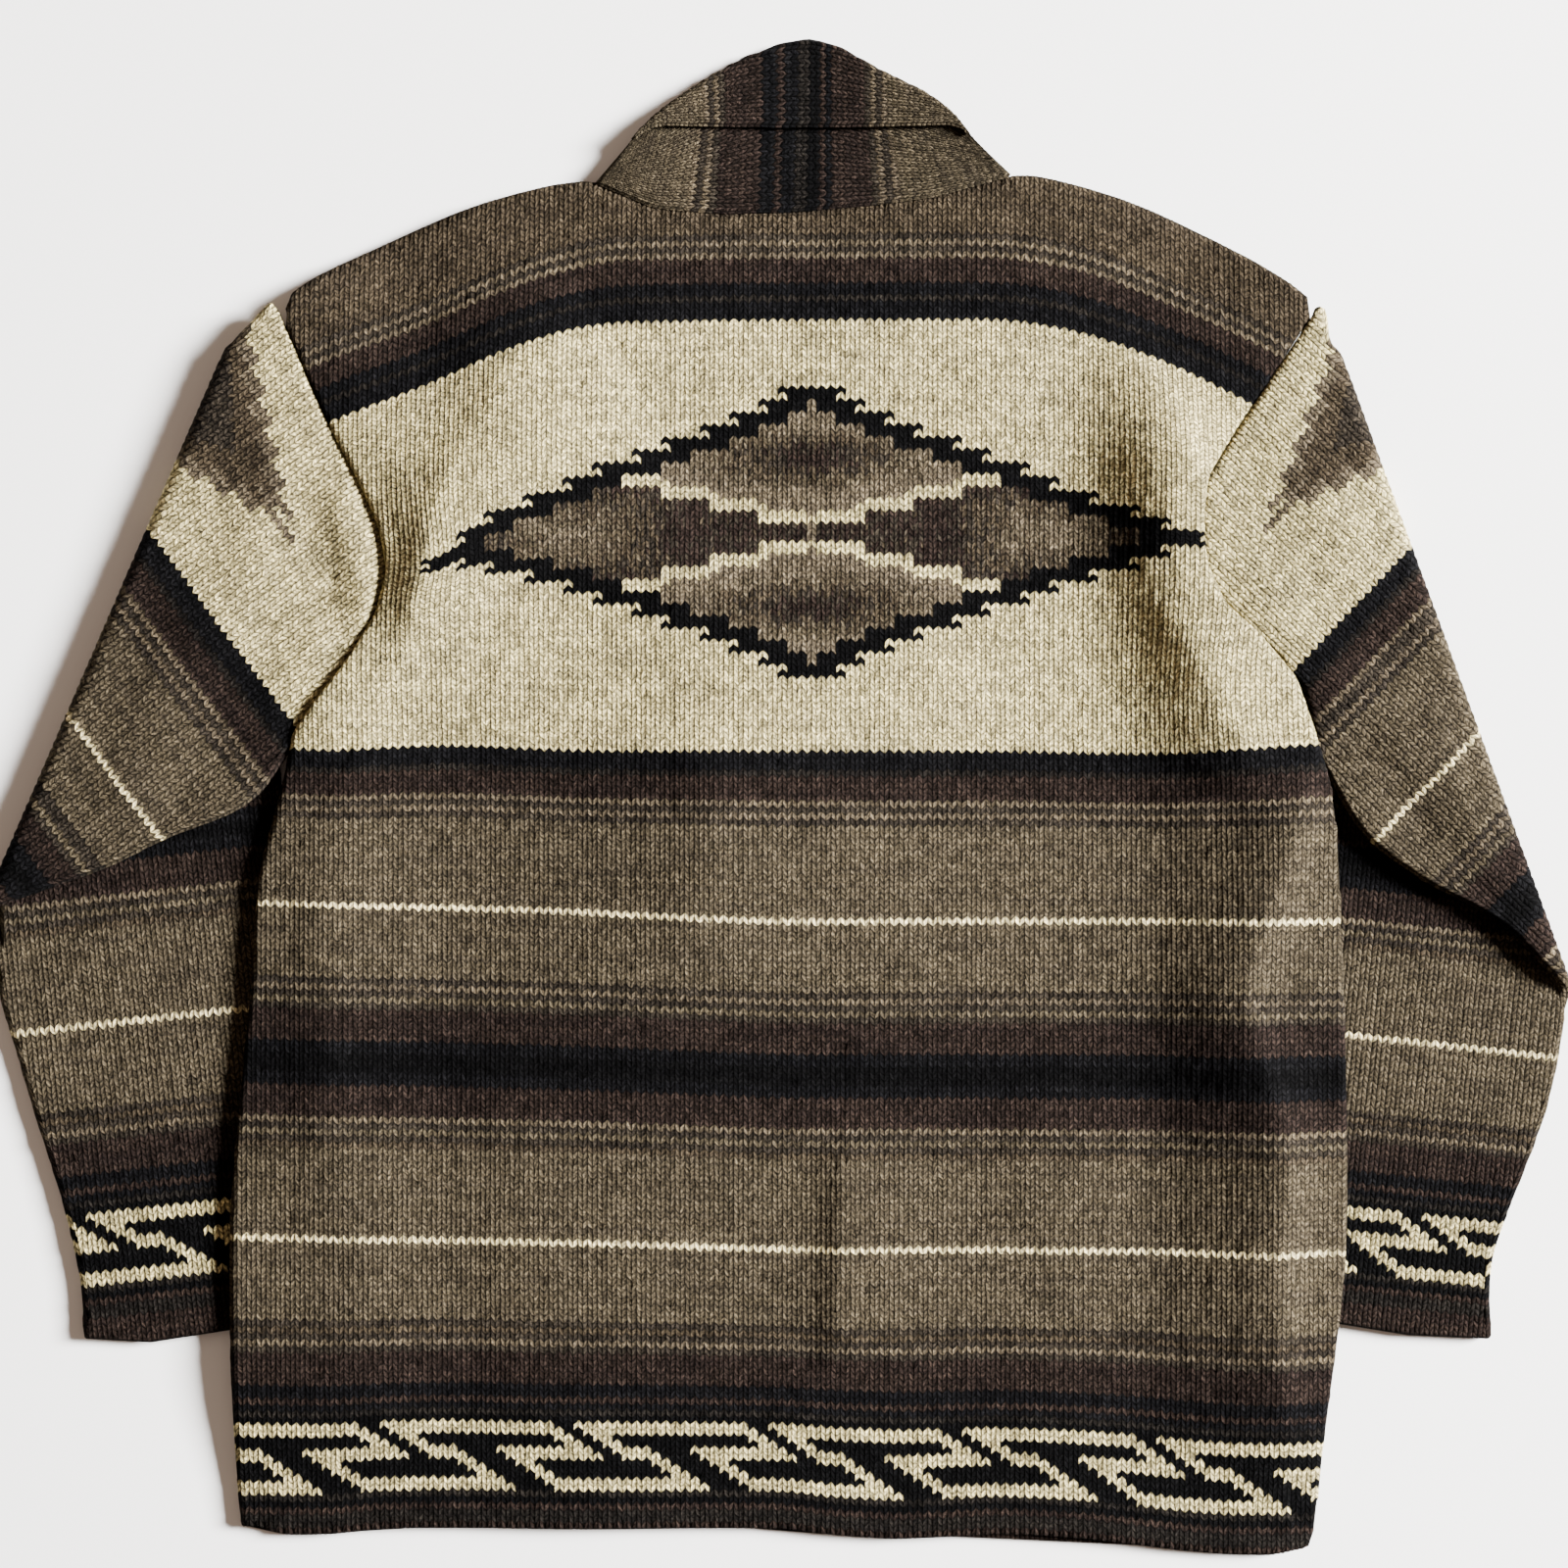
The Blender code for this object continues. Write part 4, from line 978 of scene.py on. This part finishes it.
# A strip from rows of seam, roll and edge places: its fall lies over or under its stand
def makeTurnedStrip(name, node, material, sections, over, yarn, seed):
    seam, roll, edge, seamZ, rollZ, edgeZ = (np.array(part, float) for part in sections)
    half, radius = turned["half"], turned["roll"]
    way = roll - seam
    standLength = np.linalg.norm(way, axis=1)[:, None]
    way = way / standLength
    straight = np.maximum(standLength - radius - half, 1.0)
    back = edge - roll
    fall = np.linalg.norm(back, axis=1)[:, None]
    back = back / fall
    fall = np.maximum(fall - radius - half, 1.0)
    length = straight + math.pi * radius + fall
    stitches = int(round(float(length.max()) / knit["wale"]))
    u, rise, relief = latticeColumns(stitches)
    caps = turned["capColumns"]
    turnAngle = np.arange(1, caps + 1) * math.pi / (caps + 1)
    share = np.concatenate([u / stitches, np.ones(caps), (u / stitches)[::-1],
                            np.zeros(caps + 1)])
    beyond = np.concatenate([0 * u, np.sin(turnAngle), 0 * u, -np.sin(turnAngle), [0.0]])
    face = np.concatenate([0 * u + 1, np.cos(turnAngle), 0 * u - 1, -np.cos(turnAngle), [1.0]])
    bumps = np.concatenate([relief, np.zeros(caps), relief[::-1], np.zeros(caps), relief[:1]])
    climb = np.concatenate([rise, np.zeros(caps), rise[::-1], np.zeros(caps), rise[:1]])
    capU = np.arange(1, caps + 1) * turned["capStep"]
    loopU = np.concatenate([u, u[-1] + capU, u[::-1] + turned["backShift"], -capU, [0.0]])

    rows = len(seam)
    closed = np.ones((rows, 1))
    closed[0] = closed[-1] = 0
    offset = face[None, :] * (half + bumps[None, :]) * closed
    place = share[None, :] * length + beyond[None, :] * half * closed
    angle = np.clip((place - straight) / radius, 0, math.pi)
    onFall = np.maximum(place - straight - math.pi * radius, 0)
    onStand = np.minimum(place, straight)
    bend = radius + offset
    ahead = onStand + bend * np.sin(angle)
    step = (climb[None, :] * closed)[..., None]
    level = np.where(angle < math.pi / 2, seamZ[:, None] + (rollZ - seamZ)[:, None] *
                     onStand / straight, 0)
    lift = (edgeZ - rollZ - over * 2 * radius)[:, None] * onFall / fall
    level = np.where(angle >= math.pi / 2, rollZ[:, None] + lift, level)
    z = level + over * (radius - bend * np.cos(angle))
    plan = seam[:, None] + way[:, None] * ahead[..., None] + back[:, None] * onFall[..., None]
    moved = plan.copy()
    moved[:-1] += (plan[1:] - plan[:-1]) * step[:-1]
    points = np.concatenate([moved, z[..., None]], axis=-1)
    noise = uneven(points.shape[:2], seed) * closed[..., None]
    noise[:, -1] = noise[:, 0]
    points += noise
    uv = np.stack([np.broadcast_to(loopU[None, :], z.shape),
                   np.broadcast_to(np.arange(rows)[:, None], z.shape)], axis=-1)
    strip = Knitting(name)
    strip.grid(points, uv, np.array(yarn)[:, None])
    return strip.build(node, material)


def makeCollar(material, neckLine):
    under = heightField("collar", False)
    courses = sum(count for count, yarn in collarYarns)
    yarn = [yarnNames.index(name) for count, name in collarYarns for each in range(count)]
    share = np.arange(courses + 1) / courses
    table = np.array(collarSections)
    seamX, rollX, rollY, edgeX, edgeY, rollFloor = (
        blurLine(np.interp(share, table[:, 0], column), collarPlaces["blur"])
        for column in table.T[1:])
    seamY = neckLine(seamX) + collarPlaces["seamGap"]
    seamZ = under(seamX, seamY + collarPlaces["seamProbe"]) + turned["half"]
    seamZ += collarPlaces["clearance"]
    rollZ = np.maximum(under(rollX, rollY - collarPlaces["rollProbe"]), rollFloor)
    rollZ += turned["half"]
    covered = (rollY - edgeY) / (rollY - seamY)
    standZ = np.maximum(rollZ, rollZ + (seamZ - rollZ) * covered)
    edgeZ = standZ + 2 * turned["roll"] + turned["edgeLift"]
    sections = (np.stack([seamX, seamY], 1), np.stack([rollX, rollY], 1),
                np.stack([edgeX, edgeY], 1), seamZ, rollZ, edgeZ)
    return makeTurnedStrip("collarKnit", "collar", material, sections, 1, yarn,
                           collarPlaces["seed"])


def makeLapel(side, material):
    places = lapelPlaces
    inward = 1 if side == "left" else -1
    ys, low, high = outline("front_" + side, 1)
    reach = high if side == "left" else low
    start = places["start"]
    end = outline("lapel_" + side, 1)[0].max() - places["topMargin"]
    courses = int((end - start) / knit["course"] * places["crowding"])
    share = np.arange(courses + 1) / courses
    seamY = start + (end - start) * share
    seamX = np.interp(seamY, ys, reach) + inward * places["seamGap"]
    table = np.array(lapelSections)
    stand, standTurn, fall, fallTurn = (np.interp(share, table[:, 0], column)
                                        for column in table.T[1:])

    def step(length, degrees):
        turn = np.radians(degrees)
        return np.stack([inward * np.cos(turn), np.sin(turn)], 1) * length[:, None]

    seam = np.stack([seamX, seamY], 1)
    roll = seam + step(stand, standTurn)
    edge = roll - step(fall, fallTurn)
    heights = [np.full(courses + 1, height) for height in places["heights"]]
    yarn = np.full(courses, yarnNames.index("olive"))
    yarn[::places["darkEvery"]] = yarnNames.index("umber")
    name = "lapel" + side.capitalize() + "Knit"
    return makeTurnedStrip(name, "lapel_" + side, material,
                           (seam, roll, edge, *heights), -1, yarn, places["seed"])


# Fronts and front bands: closed panels as wide as their nodes

panel = {
    "columnWidth": 9.0,
    "hemInset": 3.0,
    "inset": 3.0,            # how far a front stays inside the back's outline
    "edgeRadius": 1.6,
    "edgeColumns": (0.0, 0.45, 1.5),
    "edgeSpan": 3.0,         # the wide columns stay this far inside each edge
    "courseMargin": 2.5,     # whole courses stay this far from the hem and the top
    "leastThickness": 1.0,
    "heightBlur": 4.0,
    "outlineStep": 1.0,
    "outlineBlur": 2.0,
}


def makePanel(name, node, material, chart, hemStart, within=None):
    ys, low, high = outline(node, 1, panel["outlineStep"], panel["outlineBlur"])
    if within:
        low = np.maximum(low, within[0](ys) + panel["inset"])
        high = np.minimum(high, within[1](ys) - panel["inset"])
    over = heightField(node, True, panel["heightBlur"])
    under = heightField(node, False, panel["heightBlur"])
    bottom, top = ys[0] + panel["hemInset"], ys[-1]
    edge, span, margin = np.array(panel["edgeColumns"]), panel["edgeSpan"], panel["courseMargin"]
    firstCourse = math.ceil((bottom + margin - hemStart) / knit["course"])
    lastCourse = math.floor((top - margin - hemStart) / knit["course"])
    levels = hemStart + np.arange(firstCourse, lastCourse + 1) * knit["course"]
    rowY = np.concatenate([bottom + edge, levels, (top - edge)[::-1]])
    columns = max(3, int((high - low).max() / panel["columnWidth"]))
    width = (np.interp(rowY, ys, high) - np.interp(rowY, ys, low))[:, None]
    middle = np.linspace(0, 1, columns)[None, 1:-1]
    across = np.concatenate([edge + 0 * width, span + (width - 2 * span) * middle,
                             width - edge[::-1]], axis=1)
    x = np.interp(rowY, ys, low)[:, None] + across
    y = rowY[:, None] + 0 * x
    upper, lower = over(x, y), under(x, y)
    inside = np.minimum(np.minimum(across, width - across), np.minimum(y - bottom, top - y))
    gap = np.clip(1 - inside / panel["edgeRadius"], 0, 1)
    spread = np.sqrt(np.clip(1 - gap ** 2, 0, 1))
    centre = (upper + lower) / 2
    half = np.maximum(upper - lower, panel["leastThickness"]) / 2
    face = np.stack([x, y, centre + half * spread], -1)
    back = np.stack([x, y, centre - half * spread], -1)
    uv = np.stack([x / knit["wale"], (y - hemStart) / knit["course"]], -1)
    course = np.floor((rowY[:-1] + rowY[1:] - 2 * hemStart) / 2 / knit["course"])[:, None]
    wale = np.floor((x[:-1, :-1] + x[:-1, 1:]) / 2 / knit["wale"])
    yarn = chart(wale, course + 0 * wale)
    piece = Knitting(name)
    piece.grid(face, uv, yarn)
    piece.grid(back, uv, yarn, flip=True)
    return piece.build(node, material)


def chartFront(wale, course):
    yarn = stripeAt((course + 0.5) * knit["course"])
    return np.where(fretStitch(wale, course), yarnNames.index("cream"), yarn)


def chartBand(wale, course):
    return np.where(wale % 4 < 2, yarnNames.index("olive"), yarnNames.index("umber"))


# Wool: the yarn's shape and colour inside a stitch, from the UV map in stitches

# marl sets the strength of the flecks and leg tones, and also of the painted shade in the
# grooves
wools = {
    "backWool": {"marl": 1.0, "bump": 1.1},
    "sleeveWool": {"marl": 1.0, "bump": 1.1},
    "frontWool": {"marl": 1.0, "bump": 1.1},
    "collarWool": {"marl": 1.1, "bump": 1.1},
    "bandWool": {"marl": 1.0, "bump": 1.1},
}
woolSurface = {
    "Roughness": 0.95,
    "Specular IOR Level": 0.02,
    "Sheen Weight": 0.004,
    "Sheen Roughness": 0.6,
}
stitchLook = {
    "wobbleScale": 1.7,          # how the grooves wander
    "wobble": 0.35,
    "endHeight": 0.2,            # a leg's height at its ends, as a share of its middle's
    "plies": 2.5,
    "plySlant": 1.4,
    "plyHeight": 0.07,
    "fluffScale": (9.0, 6.0, 1.0),
    "fluffHeight": 0.55,
}
marlLook = {
    "paintedGrooveShade": 1.0,           # how much shade is painted into the grooves between legs
    "legTone": 0.42,             # how much one leg differs from the next
    "paleFrom": 0.08,            # from this lightness to the next, yarn gets more marl and deeper painted groove shade
    "paleTo": 0.35,
    "paleMarl": 1.05,
    "fleckScale": (5.5, 2.6, 1.0),
    "streakScale": (0.11, 0.85, 1.0),
    "streakRange": (0.36, 0.64),
    "streakTints": ((0.80, 0.79, 0.80, 1), (1.22, 1.20, 1.13, 1)),
}
# Where in the noise flecks start and are full, their strength and their tint
fleckKinds = (
    (0.52, 0.62, 0.9, (2.3, 2.25, 2.15, 1)),
    (0.48, 0.38, 0.85, (0.28, 0.27, 0.26, 1)),
)


# Short calls for building a node tree
class NodeMaker:
    def __init__(self, tree):
        self.tree = tree

    def add(self, kind, **settings):
        node = self.tree.nodes.new(kind)
        for name, value in settings.items():
            setattr(node, name, value)
        return node

    def feed(self, socket, value):
        if isinstance(value, bpy.types.NodeSocket):
            self.tree.links.new(value, socket)
        else:
            socket.default_value = value

    def math(self, operation, first, second=0.0, third=0.0, clamp=False):
        node = self.add("ShaderNodeMath", operation=operation, use_clamp=clamp)
        for socket, value in zip(node.inputs, (first, second, third)):
            self.feed(socket, value)
        return node.outputs[0]

    def times(self, first, second):
        return self.math("MULTIPLY", first, second)

    def plus(self, first, second):
        return self.math("ADD", first, second)

    def less(self, first, second, clamp=False):
        return self.math("SUBTRACT", first, second, clamp=clamp)

    # A round hump over each span from 0 to 1
    def hump(self, value):
        return self.math("POWER", self.times(self.times(value, self.less(1.0, value)), 4.0), 0.5)

    def range(self, value, low, high, toLow=0.0, toHigh=1.0):
        node = self.add("ShaderNodeMapRange")
        for socket, amount in zip(node.inputs, (value, low, high, toLow, toHigh)):
            self.feed(socket, amount)
        return node.outputs[0]

    def scaled(self, vector, scale):
        node = self.add("ShaderNodeVectorMath", operation="MULTIPLY")
        self.feed(node.inputs[0], vector)
        self.feed(node.inputs[1], scale)
        return node.outputs[0]

    def noise(self, vector, scale, detail, rough=0.5):
        node = self.add("ShaderNodeTexNoise")
        self.feed(node.inputs["Vector"], vector)
        node.inputs["Scale"].default_value = scale
        node.inputs["Detail"].default_value = detail
        node.inputs["Roughness"].default_value = rough
        return node.outputs["Fac"]

    def mix(self, factor, first, second, blend="MIX"):
        node = self.add("ShaderNodeMix", data_type="RGBA", blend_type=blend)
        self.feed(node.inputs[0], factor)
        self.feed(node.inputs[6], first)
        self.feed(node.inputs[7], second)
        return node.outputs[2]


def newGroup(name, inputs, outputs):
    group = bpy.data.node_groups.new(name, "ShaderNodeTree")
    for way, sockets in (("INPUT", inputs), ("OUTPUT", outputs)):
        for socket, kind in sockets.items():
            group.interface.new_socket(socket, in_out=way, socket_type="NodeSocket" + kind)
    make = NodeMaker(group)
    return group, make, make.add("NodeGroupInput"), make.add("NodeGroupOutput")


# Height of the yarn in a stitch, the groove mask that the painted shade follows, and a tone for
# each leg
def makeStitchGroup():
    look = stitchLook
    group, make, start, end = newGroup("stitchShape", {"Stitches": "Vector"}, {
        "Height": "Float", "Groove": "Float", "Tone": "Float"})
    stitches = start.outputs["Stitches"]
    parts = make.add("ShaderNodeSeparateXYZ")
    make.feed(parts.inputs[0], stitches)
    legs = make.times(parts.outputs[0], 2.0)
    aside = make.math("FRACT", legs)
    along = make.math("FRACT", parts.outputs[1])
    wobble = make.noise(stitches, look["wobbleScale"], 2)
    wobble = make.times(make.less(wobble, 0.5), look["wobble"])
    across = make.hump(make.math("ADD", aside, wobble, clamp=True))
    lengthways = make.times(make.hump(along), 1 - look["endHeight"])
    body = make.times(across, make.plus(look["endHeight"], lengthways))
    turns = make.times(make.plus(aside, make.times(along, look["plySlant"])),
                       2 * math.pi * look["plies"] / look["plySlant"])
    plies = make.times(make.math("SINE", turns), look["plyHeight"])
    fluff = make.noise(make.scaled(stitches, look["fluffScale"]), 1.0, 4, 0.7)
    fluff = make.times(make.less(fluff, 0.5), look["fluffHeight"])
    cell = make.add("ShaderNodeCombineXYZ")
    make.feed(cell.inputs[0], make.math("FLOOR", legs))
    make.feed(cell.inputs[1], make.math("FLOOR", parts.outputs[1]))
    tone = make.add("ShaderNodeTexWhiteNoise", noise_dimensions="2D")
    make.feed(tone.inputs["Vector"], cell.outputs[0])
    make.feed(end.inputs["Height"], make.plus(make.plus(body, plies), fluff))
    make.feed(end.inputs["Groove"], make.less(1.0, body, clamp=True))
    make.feed(end.inputs["Tone"], tone.outputs["Value"])
    return group


# Colour of tweedy yarn: painted shade in the grooves, legs that differ, and light and dark
# flecks
def makeMarlGroup(stitchGroup):
    look = marlLook
    group, make, start, end = newGroup(
        "marlColourAndPaintedShade", {"Yarn": "Color", "Stitches": "Vector", "Marl": "Float"},
        {"Colour": "Color", "Height": "Float"})
    yarn, stitches = start.outputs["Yarn"], start.outputs["Stitches"]
    stitch = make.add("ShaderNodeGroup", node_tree=stitchGroup)
    make.feed(stitch.inputs[0], stitches)
    light = make.add("ShaderNodeRGBToBW")
    make.feed(light.inputs[0], yarn)
    pale = make.range(light.outputs[0], look["paleFrom"], look["paleTo"], 1.0, look["paleMarl"])
    marl = make.times(start.outputs["Marl"], pale)

    # painted shade: the colour is darkened in the grooves between the legs, where shade would
    # fall
    paintedShade = make.times(stitch.outputs["Groove"], make.times(marl, look["paintedGrooveShade"]))
    tone = make.times(make.less(stitch.outputs["Tone"], 0.5),
                      make.times(marl, 2 * look["legTone"]))
    # shade holds the painted groove shade and each leg's own tone
    shade = make.times(make.less(1.0, paintedShade, clamp=True), make.plus(1.0, tone))
    shadeColour = make.add("ShaderNodeCombineColor")
    for socket in shadeColour.inputs:
        make.feed(socket, shade)
    plain = make.mix(1.0, yarn, shadeColour.outputs[0], "MULTIPLY")

    flecks = make.noise(make.scaled(stitches, look["fleckScale"]), 1.0, 3, 0.65)
    colour = plain
    for begin, full, strength, tint in fleckKinds:
        share = make.times(make.range(flecks, begin, full), marl)
        share = make.math("MULTIPLY", share, strength, clamp=True)
        colour = make.mix(share, colour, make.mix(1.0, plain, tint, "MULTIPLY"))
    along = make.noise(make.scaled(stitches, look["streakScale"]), 1.0, 2, 0.6)
    tint = make.mix(make.range(along, *look["streakRange"]), *look["streakTints"])
    make.feed(end.inputs["Colour"], make.mix(1.0, colour, tint, "MULTIPLY"))
    make.feed(end.inputs["Height"], stitch.outputs["Height"])
    return group


marlGroup = makeMarlGroup(makeStitchGroup())


def makeWool(name):
    look = wools[name]
    material = bpy.data.materials.new(name)
    material.use_nodes = True
    make = NodeMaker(material.node_tree)
    shader = material.node_tree.nodes["Principled BSDF"]
    for socket, value in woolSurface.items():
        shader.inputs[socket].default_value = value
    yarn = make.add("ShaderNodeAttribute", attribute_name="yarnColour")
    stitches = make.add("ShaderNodeUVMap", uv_map="stitches")
    marl = make.add("ShaderNodeGroup", node_tree=marlGroup)
    make.feed(marl.inputs["Yarn"], yarn.outputs["Color"])
    make.feed(marl.inputs["Stitches"], stitches.outputs["UV"])
    marl.inputs["Marl"].default_value = look["marl"]
    make.feed(shader.inputs["Base Color"], marl.outputs["Colour"])
    bump = make.add("ShaderNodeBump")
    bump.inputs["Strength"].default_value = 1.0
    bump.inputs["Distance"].default_value = look["bump"] * mm
    make.feed(bump.inputs["Height"], marl.outputs["Height"])
    make.feed(shader.inputs["Normal"], bump.outputs["Normal"])
    return material


def addStudio():
    bpy.ops.mesh.primitive_plane_add(size=studio["floorSize"] * mm,
                                     location=(0, 0, -studio["floorDrop"] * mm))
    floor = bpy.context.object
    floor.name = "floor"
    paint = bpy.data.materials.new("floorPaint")
    paint.use_nodes = True
    shader = paint.node_tree.nodes["Principled BSDF"]
    shader.inputs["Base Color"].default_value = (*studio["floorColour"], 1)
    shader.inputs["Roughness"].default_value = studio["floorRoughness"]
    floor.data.materials.append(paint)
    world = bpy.data.worlds.new("studioWorld")
    world.use_nodes = True
    background = world.node_tree.nodes["Background"]
    background.inputs["Color"].default_value = (*studio["worldColour"], 1)
    background.inputs["Strength"].default_value = studio["worldStrength"]
    bpy.context.scene.world = world
    for name in ("key", "fill"):
        place = Vector(studio[name + "Place"]) * mm
        bpy.ops.object.light_add(type="AREA", location=place)
        light = bpy.context.object
        light.name = name + "Light"
        light.data.size = studio[name + "Size"] * mm
        light.data.energy = studio[name + "Power"]
        light.data.color = studio["keyColour"] if name == "key" else studio["worldColour"]
        light.rotation_euler = (-place).to_track_quat("-Z", "Y").to_euler()


addStudio()
wool = {name: makeWool(name) for name in wools}
back = makeBack(wool["backWool"])
print("back done")
bodyY, bodyLeft, bodyRight = outline("back", 1)
topX, hemLine, topLine = outline("back", 0)
armholeY = np.arange(*tube["armhole"])
sleeves, fronts, lapels, bands = {}, {}, {}, {}
for side, reach in (("left", bodyLeft), ("right", bodyRight)):
    armhole = np.stack([np.interp(armholeY, bodyY, reach), armholeY], axis=-1)
    sleeves[side] = makeSleeve(side, wool["sleeveWool"], armhole)
    print("sleeve", side, "done")
collar = makeCollar(wool["collarWool"], lambda x: np.interp(x, topX, topLine))
print("collar done")
hemStart = float(np.interp(0.0, topX, hemLine))
backReach = (lambda y: np.interp(y, bodyY, bodyLeft), lambda y: np.interp(y, bodyY, bodyRight))
for side in ("left", "right"):
    lapels[side] = makeLapel(side, wool["collarWool"])
    fronts[side] = makePanel("front" + side.capitalize() + "Knit", "front_" + side,
                             wool["frontWool"], chartFront, hemStart, backReach)
    bands[side] = makePanel("band" + side.capitalize() + "Knit", "band_" + side,
                            wool["bandWool"], chartBand, hemStart)
    print("front", side, "done")
